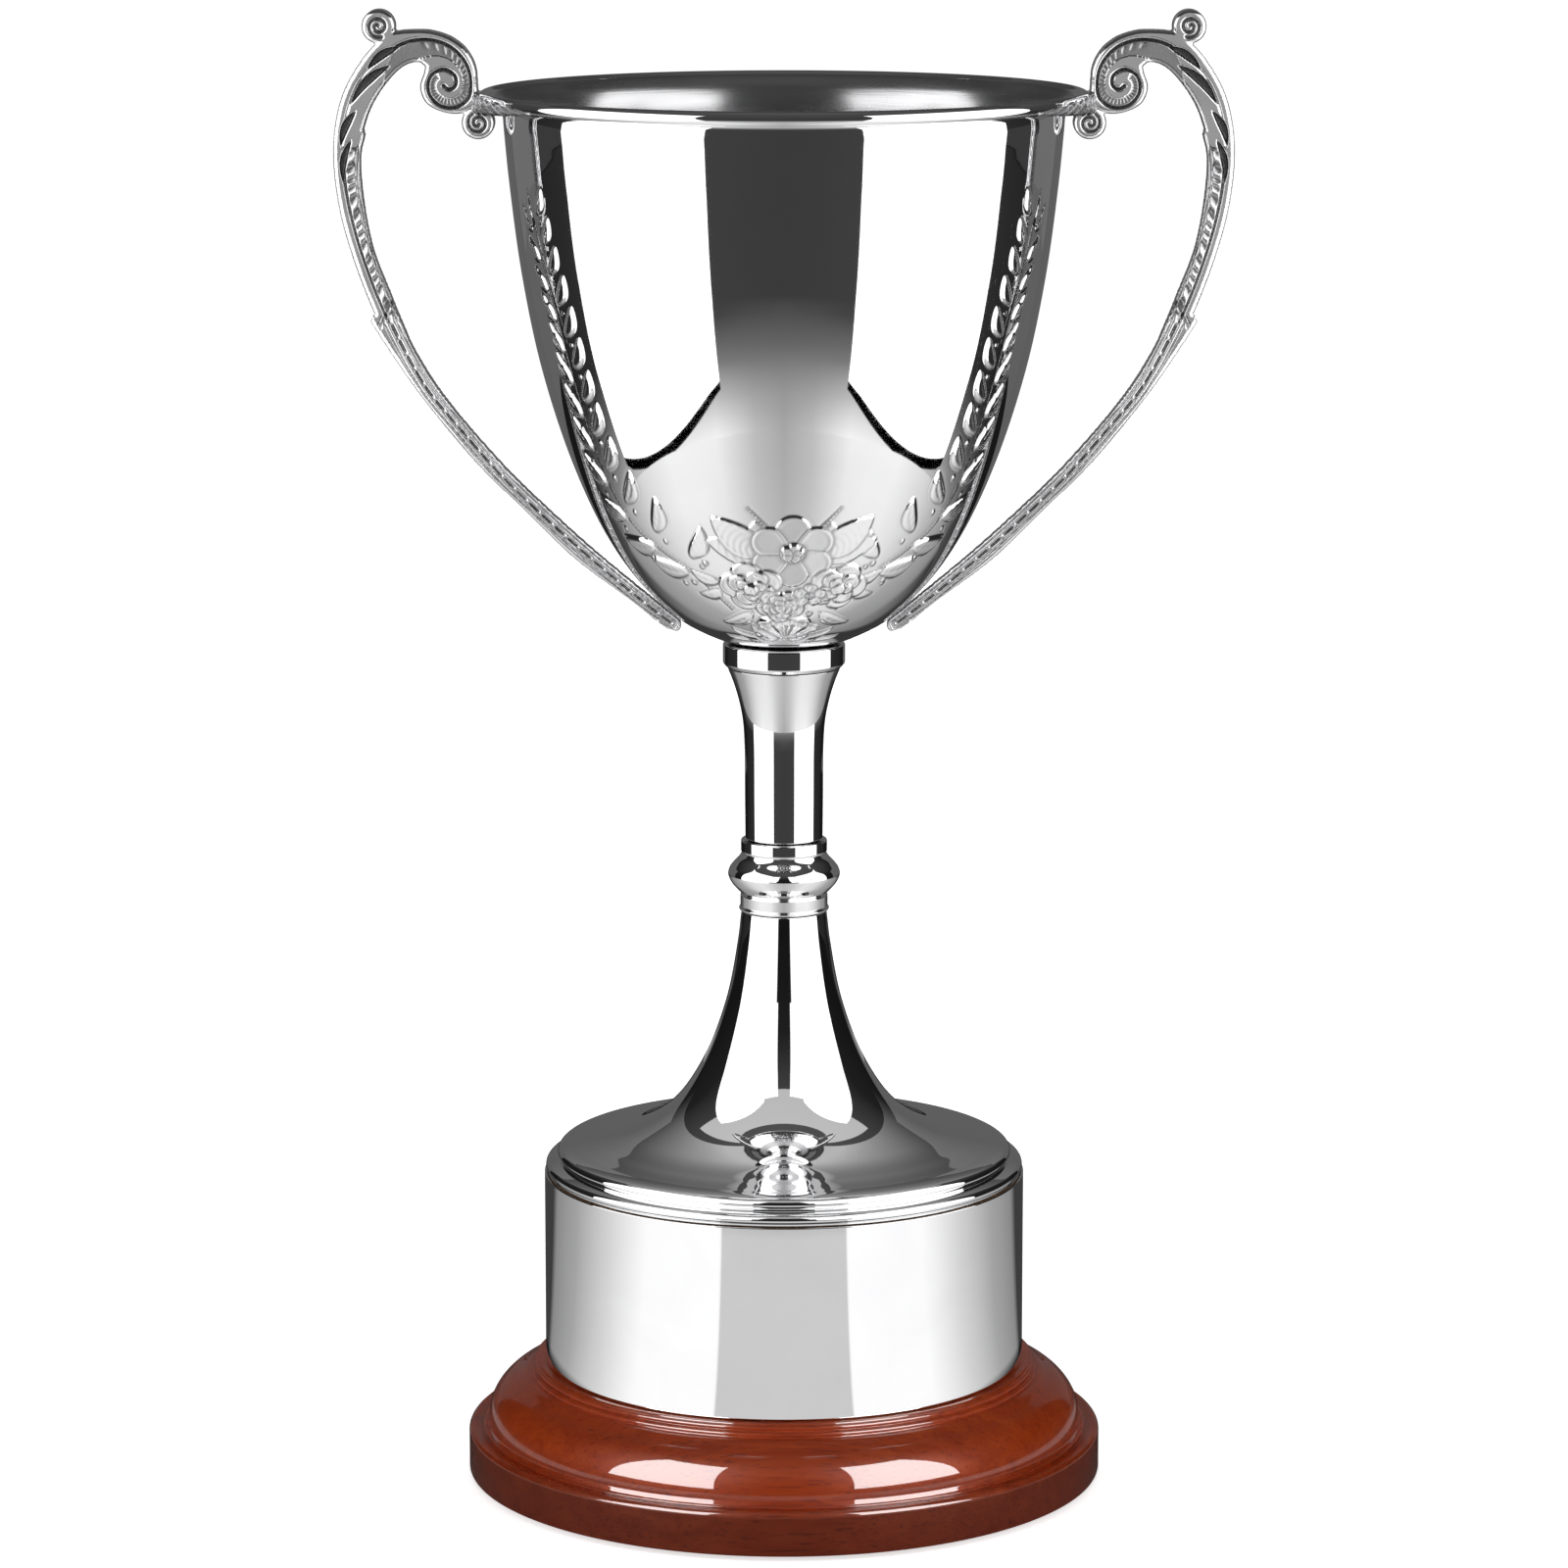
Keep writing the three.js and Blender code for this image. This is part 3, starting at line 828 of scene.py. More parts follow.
def stem_direction(path, k):
    """The stem's direction at a point, in degrees clockwise from straight up the bowl."""
    a, b = path[max(k - 1, 0)], path[min(k + 1, len(path) - 1)]
    radius = 0.5 * (a[2] + b[2])
    across = math.radians(b[0] - a[0]) * radius
    return math.degrees(math.atan2(across, b[3] - a[3]))


def branch(relief, centre, side):
    """A leafy branch that curves up one side from the flowers. Side is 1 to the right, -1 to the left."""
    flat = even_curve(STEM, 240)
    reach = np.interp(flat[:, 1], relief.side[:, 1], relief.reach)
    radius = np.interp(flat[:, 1], relief.side[:, 1], relief.side[:, 0])
    path = np.column_stack([flat[:, 0], flat[:, 1], radius, reach])
    for azimuth, z, _, _ in path[::2]:
        bead(relief, centre + side * azimuth, z, 0.55, 0.30)
    for pair in range(LEAF_PAIRS):
        share = ((pair + 0.9) / (LEAF_PAIRS + 0.3)) ** 0.8
        k = int(share * (len(path) - 1))
        azimuth, z = path[k][0], path[k][1]
        size = 1.0 - 0.32 * share
        heading = stem_direction(path, k)
        outer = centre + side * (azimuth + 1)
        inner = centre + side * (azimuth - math.degrees(1.5 / radius[k]))
        inner_turn = max(heading - 66, -28)
        leaf(relief, outer, z, side * (heading + 32), 14.0 * size, 6.6 * size, 0.7)
        leaf(relief, inner, z + 4.5, side * inner_turn, 13.0 * size, 5.6 * size, 0.6)
        for hand, drop in ((1, 3.6), (-1, -2.0)):
            off = math.degrees(hand * 4.2 * size / radius[k])
            bead(relief, centre + side * (azimuth + off), z - drop, 0.8 * size, 0.5)
    tip = path[-1]
    leaf(relief, centre + side * tip[0], tip[1] - 3, side * 12, 10, 3.4, 0.42)


def bouquet(relief, centre):
    """The flowers and leaves where the two branches meet."""
    for side in (-1, 1):
        fan_leaf(relief, centre + 2.5 + side * 8.5, 274.5, side * 68, 18.0, 11.5)
        beaded_spray(relief, centre + 3.0 + side * 8.0, 281.8, side * 38, 8.0, 8)
        leaf(relief, centre + 1.0 + side * 24, 265.0, side * 62, 9.0, 4.4, 0.5)
        leaf(relief, centre + 1.0 + side * 24, 262.5, side * 104, 8.0, 4.0, 0.5)
        leaf(relief, centre + 1.0 + side * 14, 256.0, side * 118, 12.0, 4.6, 0.6)
    for side in (-1, 1):
        for turn, length in ((84, 15.5), (62, 14.0), (36, 11.0)):
            leaf(relief, centre - 1.0 + side * 2.0, 246.6, side * turn, length, 3.6, 0.8)
    shell(relief, centre + 1.0, 247.5, 6, 9.5, 120)
    blossom(relief, centre + 2.6, 274.6, 12.2, 6, 0.52)
    rose(relief, centre + 19.5, 263.8, 8.8, 20, 0.78)
    rose(relief, centre - 11.5, 264.0, 9.4, -10, 0.95)
    rose(relief, centre - 1.5, 258.2, 7.0, 40, 0.95)
    blossom(relief, centre + 9.5, 261.5, 4.6, 5, 0.55)
    for azimuth, z in ((-26.2, 270.7), (-33.4, 264.5), (30.0, 270.4), (37.0, 265.0), (10.8, 255.5)):
        bead(relief, centre + azimuth, z, 0.9, 0.6)


def bowl_lattice():
    """Positions, normals, relief heights and cavities of the bowl's outside, on a fine grid."""
    side = even_curve(BOWL_SIDE, ROWS + 1)
    relief = Relief(side)
    for centre in (0, 180):
        for hand in (-1, 1):
            branch(relief, centre, hand)
        bouquet(relief, centre)
    height = relief.height
    for axis in (0, 1, 0, 1):
        height = (np.roll(height, 1, axis) + 2 * height + np.roll(height, -1, axis)) / 4
    along = np.gradient(side, axis=0)
    along /= np.linalg.norm(along, axis=1)[:, None]
    out_radius, out_z = along[:, 1], -along[:, 0]
    radius = side[:, 0][:, None] + out_radius[:, None] * height
    z = side[:, 1][:, None] + out_z[:, None] * height
    direction = facing(relief.azimuth)
    points = np.stack([radius * direction[:, 0], radius * direction[:, 1], z + 0 * radius], axis=-1)
    around = np.roll(points, -1, 1) - np.roll(points, 1, 1)
    normals = np.cross(around, np.gradient(points, axis=0))
    normals /= np.linalg.norm(normals, axis=-1)[..., None]
    return side, points, normals, height, relief.cavity


def refined_faces(height):
    """Quads where there is relief, and one face for each coarse cell elsewhere.
    A coarse cell beside fine ones takes in the vertices along their shared edge, so nothing gapes."""
    rows, columns = ROWS // BLOCK, COLUMNS // BLOCK
    raised = abs(height) > 0.004
    blocks = np.zeros((rows, columns), bool)
    for i in range(rows):
        strip = raised[i * BLOCK : (i + 1) * BLOCK + 1].any(axis=0)
        wrapped = np.concatenate([strip, strip[:1]])
        blocks[i] = [wrapped[j * BLOCK : (j + 1) * BLOCK + 1].any() for j in range(columns)]
    faces = []
    for i in range(rows):
        for j in range(columns):
            top, left = i * BLOCK, j * BLOCK
            if blocks[i, j]:
                across = np.arange(left, left + BLOCK + 1) % COLUMNS
                patch = GRID[top : top + BLOCK + 1][:, across]
                quads = np.stack([patch[:-1, :-1], patch[:-1, 1:], patch[1:, 1:], patch[1:, :-1]], axis=-1)
                faces += quads.reshape(-1, 4).tolist()
                continue
            loop = []
            below = i > 0 and blocks[i - 1, j]
            above = i < rows - 1 and blocks[i + 1, j]
            before = blocks[i, (j - 1) % columns]
            after = blocks[i, (j + 1) % columns]
            right, upper = left + BLOCK, top + BLOCK
            loop += [GRID[top, left + k] for k in range(0, BLOCK, 1 if below else BLOCK)]
            loop += [GRID[top + k, right % COLUMNS] for k in range(0, BLOCK, 1 if after else BLOCK)]
            loop += [GRID[upper, (right - k) % COLUMNS] for k in range(0, BLOCK, 1 if above else BLOCK)]
            loop += [GRID[upper - k, left] for k in range(0, BLOCK, 1 if before else BLOCK)]
            faces.append([int(v) for v in loop])
    return faces


def closing_outline(side):
    """The rest of the bowl's outline: its lip, its inside, and the bore in its floor."""
    inside = inset(side[:: 2 * BLOCK], SHELL_WALL)[::-1]
    lip_top = level("bowl")[1]
    floor = BOWL_BOTTOM + SHELL_WALL
    return [
        (side[-1][0] + 0.1, side[-1][1] + 0.4),
        (side[-1][0], lip_top),
        (side[-1][0] - LIP_WIDTH, lip_top),
        *inside[1:-1],
        (12.0, floor),
        (BORE, floor),
        (BORE, BOWL_BOTTOM),
        (14.0, BOWL_BOTTOM),
    ]


def build_bowl():
    """The bowl: mirror outside with its relief, rolled lip, satin inside, and a bore in its floor."""
    side, points, normals, height, cavities = bowl_lattice()
    faces = refined_faces(height)
    outside_count = len(faces)
    vertices = [points.reshape(-1, 3)]
    coarse = COLUMNS // BLOCK
    direction = facing(np.arange(coarse) * 360.0 / coarse - 180.0)
    rings = [GRID[-1, ::BLOCK]]
    next_number = GRID.size
    for r, z in closing_outline(side):
        vertices.append(np.column_stack([r * direction, np.full(coarse, z)]))
        rings.append(np.arange(next_number, next_number + coarse))
        next_number += coarse
    rings.append(GRID[0, ::BLOCK])
    for low, high in zip(rings, rings[1:]):
        quads = np.stack([low, np.roll(low, -1), np.roll(high, -1), high], axis=1)
        faces += quads.tolist()
    vertices = np.concatenate(vertices)
    # The grid's inner rows have normals of their own. A zero leaves the other vertices' to Blender.
    custom = np.zeros_like(vertices)
    custom[GRID[1:-1].ravel()] = normals[1:-1].reshape(-1, 3)
    values = np.zeros(len(vertices))
    values[: GRID.size] = cavities.reshape(-1)
    used = np.zeros(len(vertices), bool)
    used[np.concatenate([np.asarray(face) for face in faces])] = True
    renumber = np.cumsum(used) - 1
    faces = [renumber[face].tolist() for face in faces]
    piece = add_piece(
        "bowl_chased",
        "bowl",
        vertices[used] * MM,
        faces,
        ["chased_nickel", "satin_nickel"],
        values[used],
        custom[used],
    )
    finish = np.zeros(len(faces), np.int32)
    finish[outside_count + LIP_RINGS * coarse :] = 1
    piece.data.polygons.foreach_set("material_index", finish)


RIM_RADIUS = 83.5  # to the middle of the rim wire
RIM_CLEARANCE = (395.6, 1.85)  # height and radius of the channel that the handles leave for it


def build_rim_bead():
    bottom, top, _ = level("rim_bead")
    radius = (top - bottom) / 2
    section = arc((RIM_RADIUS, (top + bottom) / 2), radius + 0.25, -180, 165, 24)
    turned_piece("rim_bead_wire", "rim_bead", section, "nickel_plate", 320)


# ---------------------------------------------------------------- handles

# The casting seen from the front: (distance from the axis, height), in millimetres.
OUTER_EDGE = [(36.5, 248.0), (42.8, 253.2), (59.4, 265.8), (73.2, 279.4), (86.6, 292.8),
              (102.7, 312.8), (112.0, 326.6), (116.0, 333.0)]
OUTER_ROLL = [(114.9, 335.2), (117.3, 341.2), (120.2, 349.3), (123.9, 362.5), (125.8, 377),
              (125.2, 388), (122.6, 397.5), (116.7, 407.2), (110.5, 413.6)]
CROWN = [(104.1, 414.3), (98, 414.1), (92.1, 412.0), (88.2, 408.6), (85.9, 404), (85.4, 398.5),
         (84.9, 393.4)]
VOLUTE_UNDER = [(90.0, 391.2), (95.1, 391.6), (99.7, 394.1), (101.4, 398.5), (100.2, 402.6),
                (99.9, 404.3)]
INNER_ROLL = [(101.6, 405.4), (105.8, 404.3), (111.6, 398.5), (115.5, 392.0), (117.4, 386.6)]
INNER_EDGE = [(117.0, 385.0), (118.3, 379.0), (117.5, 365.8), (114.9, 352.6), (109.9, 339.4),
              (107.6, 333.4)]
INNER_LOWER = [(106.0, 329.6), (104.5, 326.1), (96.4, 312.8), (79.7, 292.8), (66.2, 279.4),
               (51.4, 266.0), (35, 252.4), (29.2, 247.2), (29.9, 245.0), (33.0, 245.6)]
# The middle of the limb, with its half width.
LIMB = [(31.4, 247.0, 1.8), (38.5, 252.4, 2.3), (52.5, 264.0, 2.45), (66.6, 276.7, 2.45),
        (80.0, 289.8, 2.45), (91.0, 302.6, 2.5), (99.5, 312.9, 2.55), (106.0, 324.0, 2.8),
        (111.6, 336.0, 3.2), (115.9, 347.0, 3.0), (119.6, 359.4, 3.3), (121.9, 372.0, 3.65),
        (121.9, 382.0, 4.0), (120.6, 390.2, 4.3), (117.4, 398.6, 4.5), (111.8, 405.1, 4.5),
        (104.6, 409.6, 4.45), (98.0, 409.8, 4.3)]
VOLUTE_CENTRE = (93.6, 399.0)
TOP_SCROLL = ((112.8, 415.3), 4.7)
LOWER_SCROLL = ((85.3, 388.6), 4.6)
GROOVE = [(107.6, 409.9), (103.5, 411.4), (98, 411.6), (92.6, 409.6), (88.6, 405.2), (87.2, 400.0),
          (88.0, 395.4), (91.6, 393.0), (96, 393.6), (98.9, 397.0), (98.4, 401.4), (94.9, 403.5),
          (91.6, 401.6), (91.6, 398.9), (93.4, 397.9), (94.9, 399.0)]
# Hollows of the acanthus: start, end and width of each pointed pit.
HOLLOWS = [((116.3, 403.0), (106.9, 409.8), 2.5), ((121.0, 393.3), (109.5, 404.7), 2.7),
           ((123.7, 381.7), (119.2, 392.2), 2.4), ((122.9, 371.2), (120.6, 384.3), 2.2)]
LEAF_END = 119.0  # distance up the limb to where the acanthus ends over the lower limb
ROPE_END = 168.0
LINK = 4.9  # pitch of the chain of links on the lower limb
HANDLE_STEP = 0.27


def nearest(px, pz, path, chunk=20000):
    """Distance to a path's points and the number of the nearest one, for each place."""
    flat = np.column_stack([px.ravel(), pz.ravel()]).astype(np.float32)
    path = path.astype(np.float32)
    best = np.empty(len(flat), np.int64)
    distance = np.empty(len(flat), np.float32)
    for start in range(0, len(flat), chunk):
        part = flat[start : start + chunk]
        squares = (part[:, :1] - path[None, :, 0]) ** 2 + (part[:, 1:] - path[None, :, 1]) ** 2
        best[start : start + chunk] = squares.argmin(axis=1)
        distance[start : start + chunk] = np.sqrt(squares.min(axis=1))
    return distance.reshape(px.shape), best.reshape(px.shape)


def inside_polygon(px, pz, polygon):
    """True where a place lies inside a closed outline."""
    result = np.zeros(px.shape, bool)
    for (x1, z1), (x2, z2) in zip(polygon, np.roll(polygon, -1, axis=0)):
        if z1 == z2:
            continue
        crosses = (pz >= min(z1, z2)) & (pz < max(z1, z2))
        edge = x1 + (pz - z1) * (x2 - x1) / (z2 - z1)
        result ^= crosses & (px < edge)
    return result


def casting_outline():
    runs = [OUTER_EDGE, OUTER_ROLL, CROWN, VOLUTE_UNDER, INNER_ROLL, INNER_EDGE, INNER_LOWER]
    joined = []
    for run in runs:
        start = [joined[-1][-1]] if joined and run in (CROWN, VOLUTE_UNDER, INNER_ROLL) else []
        joined.append(even_curve([*start, *run], 26 * len(run)))
    return np.concatenate(joined)


def spiral(centre, outer, turns, start, hand):
    """Points of a spiral groove inside a scroll."""
    share = np.linspace(0, 1, 160)
    angle = math.radians(start) + hand * share * turns * 2 * math.pi
    radius = outer * (1 - share) ** 0.8 + 0.35
    return np.column_stack([centre[0] + radius * np.cos(angle), centre[1] + radius * np.sin(angle)])


def channel(distance, width, depth):
    """A round-bottomed channel's depth at a distance from its middle."""
    return depth * np.exp(-((distance / width) ** 2))


def lower_limb(s, t):
    """Depth of the relief on the lower limb: a chain of long links between two plain rolls."""
    phase = ((s / LINK) % 1.0 - 0.5) * LINK
    off_link = np.hypot(np.maximum(abs(phase) - 1.5, 0), 4.1 * (t - 0.02))
    links = channel(off_link, 0.62, 0.75)
    return channel(t + 0.52, 0.09, 0.50) + channel(t - 0.56, 0.09, 0.50) + links


def rope(s, t):
    """Depth of the serrated leaf edge that runs up the middle of the limb."""
    band = np.exp(-(((t + 0.30) / 0.36) ** 4))
    twist = 0.5 + 0.5 * np.sin(2 * math.pi * (s / 3.3 + 0.55 * t + 0.25 * np.sin(s / 2.1)))
    return 0.50 * band * twist + channel(t - 0.18, 0.10, 0.80) + channel(t + 0.78, 0.10, 0.55)


def hollow(px, pz, start, end, width):
    """Depth of a pointed pit with a rough floor, and a raised lip round it."""
    ax, az = end[0] - start[0], end[1] - start[1]
    length = math.hypot(ax, az)
    along = ((px - start[0]) * ax + (pz - start[1]) * az) / length
    across = ((pz - start[1]) * ax - (px - start[0]) * az) / length
    share = np.clip(along / length, 0, 1)
    across = across + 0.09 * length * np.sin(math.pi * share)
    half = 0.5 * width * np.sin(math.pi * share**1.15) ** 0.75
    inside = half - abs(across)
    inside = np.where((along < 0) | (along > length), -1.0, inside)
    floor = 1.05 * np.clip(inside / 0.45, 0, 1)
    rough = 0.12 * np.sin(along * 5.2) * np.sin(across * 7 + along * 2) * (inside > 0.25)
    lip = -0.16 * np.exp(-(((inside + 0.25) / 0.22) ** 2))
    return floor + rough + lip


def volute_depth(px, pz):
    """Depth of the volute's spiral groove and of the short flutes beside it."""
    path = even_curve(GROOVE, 500)
    distance, index = nearest(px, pz, path)
    share = index / (len(path) - 1)
    depth = channel(distance, 0.42, 0.95)
    toward = np.hypot(px - VOLUTE_CENTRE[0], pz - VOLUTE_CENTRE[1])
    ring = np.hypot(path[index, 0] - VOLUTE_CENTRE[0], path[index, 1] - VOLUTE_CENTRE[1])
    inner_side = (toward < ring) & (share < 0.80)
    dished = 0.28 * np.clip((distance - 0.3) / 0.5, 0, 1) * inner_side
    window = np.exp(-(((distance - 1.7) / 0.95) ** 4)) * inner_side * (share > 0.10)
    angle = np.degrees(np.arctan2(pz - VOLUTE_CENTRE[1], px - VOLUTE_CENTRE[0]))
    flutes = 0.20 * (0.5 + 0.5 * np.cos(np.radians(angle) * 30))
    return depth + dished + flutes * window


def scroll_depth(px, pz, scroll, start, hand):
    centre, radius = scroll
    path = spiral(centre, radius * 0.56, 1.6, start, hand)
    distance, _ = nearest(px, pz, path)
    return channel(distance, 0.38, 0.85)


def handle_relief(px, pz, s, t):
    """How far the front face lies below the full thickness, over the casting."""
    lower = lower_limb(s, t)
    middle = rope(s, t)
    upper = channel(t - 0.36, 0.07, 0.35)
    low_share = np.clip((LEAF_END - s) / 2.5 + 0.5, 0, 1)
    high_share = np.clip((s - ROPE_END) / 3.0 + 0.5, 0, 1)
    limb = lower * low_share + (1 - low_share) * (middle * (1 - high_share) + upper * high_share)
    limb *= np.clip((204 - s) / 4, 0, 1) * np.clip((1.15 - abs(t)) / 0.15, 0, 1)
    step = channel(s - LEAF_END - 1.5 + 2.5 * t, 0.6, 0.5) * (abs(t) < 1.1)
    hollows = sum(hollow(px, pz, *h) for h in HOLLOWS)
    near_volute = np.hypot(px - VOLUTE_CENTRE[0], pz - VOLUTE_CENTRE[1])
    volute = volute_depth(px, pz) * np.clip((19.5 - near_volute) / 2, 0, 1)
    scrolls = scroll_depth(px, pz, TOP_SCROLL, 250, 1) + scroll_depth(px, pz, LOWER_SCROLL, 60, -1)
    return np.maximum(limb + step, hollows) + volute + scrolls


def union(a, b, blend):
    """The smooth union of two distance fields."""
    share = np.clip(0.5 + 0.5 * (b - a) / blend, 0, 1)
    return b + (a - b) * share - blend * share * (1 - share)


CORNERS = np.array([(i, j, k) for i in (0, 1) for j in (0, 1) for k in (0, 1)])  # of a grid cell


def cell_points(field, cells):
    """The mean of the places where each cell's edges cross the zero surface."""
    sums = np.zeros((len(cells), 3))
    counts = np.zeros(len(cells))
    for a in range(8):
        for b in range(a + 1, 8):
            if abs(CORNERS[a] - CORNERS[b]).sum() != 1:
                continue
            fa = field[tuple((cells + CORNERS[a]).T)]
            fb = field[tuple((cells + CORNERS[b]).T)]
            crossing = (fa < 0) != (fb < 0)
            share = np.where(crossing, fa / np.where(crossing, fa - fb, 1), 0)[:, None]
            point = CORNERS[a] + share * (CORNERS[b] - CORNERS[a])
            sums += np.where(crossing[:, None], point, 0)
            counts += crossing
    return cells + sums / counts[:, None]


def net_faces(inside, number):
    """A quad round each grid edge that crosses the surface, between the four cells that share it."""
    faces = []
    for axis in range(3):
        u, v = (axis + 1) % 3, (axis + 2) % 3
        low = [slice(None)] * 3
        high = [slice(None)] * 3
        low[axis], high[axis] = slice(0, -1), slice(1, None)
        for here in (True, False):
            crossing = (inside[tuple(low)] == here) & (inside[tuple(high)] != here)
            places = np.argwhere(crossing)
            places = places[(places[:, u] > 0) & (places[:, v] > 0)]
            places = places[(places[:, u] < inside.shape[u] - 1) & (places[:, v] < inside.shape[v] - 1)]
            du, dv = np.zeros(3, int), np.zeros(3, int)
            du[u], dv[v] = 1, 1
            quad = [places, places - du, places - du - dv, places - dv]
            quad = [number[tuple(q.T)] for q in quad]
            faces.append(np.stack(quad if here else quad[::-1], axis=1))
    return np.concatenate(faces)


def net(field, origin, step):
    """A quad mesh on the zero surface of a field that is negative inside (naive surface nets)."""
    nx, ny, nz = field.shape
    inside = field < 0
    corners = [inside[i : nx - 1 + i, j : ny - 1 + j, k : nz - 1 + k] for i, j, k in CORNERS]
    total = sum(c.astype(np.int8) for c in corners)
    active = (total > 0) & (total < 8)
    cells = np.argwhere(active)
    number = np.full(active.shape, -1, np.int64)
    number[active] = np.arange(len(cells))
    return origin + step * cell_points(field, cells), net_faces(inside, number)


def flat_distance(px, pz):
    """The distance out from the casting's edge, seen from the front."""
    outline = casting_outline()
    distance, _ = nearest(px, pz, outline)
    flat = np.where(inside_polygon(px, pz, outline), -distance, distance)
    for centre, radius in (TOP_SCROLL, LOWER_SCROLL):
        disc = np.hypot(px - centre[0], pz - centre[1]) - radius
        flat = union(flat, disc, 0.8)
    return flat


def limb_place(px, pz):
    """How far up the limb a place lies, and how far across it as a share of its half width."""
    limb = even_curve(LIMB, 900)
    reach, index = nearest(px, pz, limb[:, :2])
    along = np.gradient(limb[:, :2], axis=0)
    along /= np.linalg.norm(along, axis=1)[:, None]
    side = (px - limb[index, 0]) * along[index, 1] - (pz - limb[index, 1]) * along[index, 0]
    steps = np.linalg.norm(np.diff(limb[:, :2], axis=0), axis=1)
    up = np.concatenate([[0], np.cumsum(steps)])[index]
    return up, np.sign(side) * reach / limb[index, 2]


def casting_mesh():
    """Vertices, quads and cavity values of one handle casting, on the +X side."""
    low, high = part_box("handle_right")
    margin = 1.2
    x = np.arange(28.0, high.x / MM + margin, HANDLE_STEP)
    z = np.arange(low.z / MM - margin, high.z / MM + margin, HANDLE_STEP)
    half_cells = math.ceil(5.2 / HANDLE_STEP)
    y = (np.arange(-half_cells, half_cells) + 0.5) * HANDLE_STEP
    px, pz = np.meshgrid(x, z, indexing="ij")
    depth = handle_relief(px, pz, *limb_place(px, pz))
    rise = np.clip((pz - 250) / 130, 0, 1)
    half = 2.5 + 1.5 * rise * rise * (3 - 2 * rise) - depth
    rounding = 1.35
    qy = abs(y)[None, :, None] - (half - rounding)[:, None, :]
    qx = (flat_distance(px, pz) + rounding)[:, None, :] + 0 * qy
    outer = np.hypot(np.maximum(qx, 0), np.maximum(qy, 0))
    field = outer + np.minimum(np.maximum(qx, qy), 0) - rounding
    bowl = even_curve(BOWL_SIDE, 160)
    wall = np.interp(z, bowl[:, 1], bowl[:, 0], left=0.0, right=0.0)
    radius = np.hypot(x[:, None, None], y[None, :, None])
    field = np.maximum(field, wall[None, None, :] - 0.15 - radius)
    wire_height, wire_radius = RIM_CLEARANCE
    rim = np.hypot(radius - RIM_RADIUS, z[None, None, :] - wire_height) - wire_radius
    field = np.maximum(field, -rim)
    vertices, faces = net(field, np.array([x[0], y[0], z[0]]), HANDLE_STEP)
    column = np.clip(((vertices[:, 0] - x[0]) / HANDLE_STEP).round().astype(int), 0, len(x) - 1)
    row = np.clip(((vertices[:, 2] - z[0]) / HANDLE_STEP).round().astype(int), 0, len(z) - 1)
    face_on = abs(vertices[:, 1]) > (half - 0.9)[column, row]
    # Cavity values from the relief's depth, which the cast_nickel material turns into painted shade.
    values = np.clip(depth[column, row] / 0.85, 0, 1) * face_on
    return vertices, faces, values


LUG_REACH = 36.0  # degrees of rim that each arm of a lug follows
LUG_RADIUS = 86.0
LUG_HEIGHT = 394.0


def lug_mesh():
    """The two arms that hold the rim on either side of the handle, with a knotted surface."""
    steps, sides = 150, 36
    vertices, faces, values = [], [], []
    for hand in (-1, 1):
        first = len(vertices)
        for k in range(steps):
            share = k / (steps - 1)
            azimuth = math.radians(LUG_REACH * share) * hand
            size = (1 - share) ** 0.7
            knots = 1 + 0.13 * math.sin(share * 46) * size
            middle = LUG_RADIUS - 0.9 * share
            tall = (0.35 + 2.5 * size) * knots
            thick = (0.30 + 1.15 * size) * knots
            for i in range(sides):
                angle = 2 * math.pi * i / sides
                ripple = 1 + 0.07 * math.sin(angle * 4 + share * 60)
                r = middle + thick * math.cos(angle) * ripple
                z = LUG_HEIGHT + 0.5 * share + tall * math.sin(angle) * ripple
                vertices.append((r * math.cos(azimuth), r * math.sin(azimuth), z))
                # Cavity values in the knots' hollows, for the same painted shade.
                values.append(0.45 * (1.07 - ripple) / 0.14 + 0.3 * (1.13 - knots))
        for k in range(steps - 1):
            band = ring_faces(first + k * sides, first + (k + 1) * sides, sides)
            faces += (band if hand > 0 else band[:, ::-1]).tolist()
        last = first + (steps - 1) * sides
        start, end = list(range(first, first + sides)), list(range(last, last + sides))
        faces += [start[::-1], end] if hand > 0 else [start, end[::-1]]
    return np.array(vertices), faces, np.array(values)


def build_handles():
    vertices, faces, values = casting_mesh()
    lug_vertices, lug_faces, lug_values = lug_mesh()
    all_faces = faces.tolist() + [[v + len(vertices) for v in face] for face in lug_faces]
    all_vertices = np.concatenate([vertices, lug_vertices]) * MM
    all_values = np.concatenate([values, lug_values])
    for node, turn in (("handle_right", 1), ("handle_left", -1)):
        placed = all_vertices * (turn, turn, 1)
        add_piece(node + "_cast", node, placed, all_faces, "cast_nickel", all_values)


# ---------------------------------------------------------------- fastenings

NUT_BORE = 4.3
CAP_DOME = 6.1  # height of the dome on the cap nut
THREAD_PITCH = 1.25


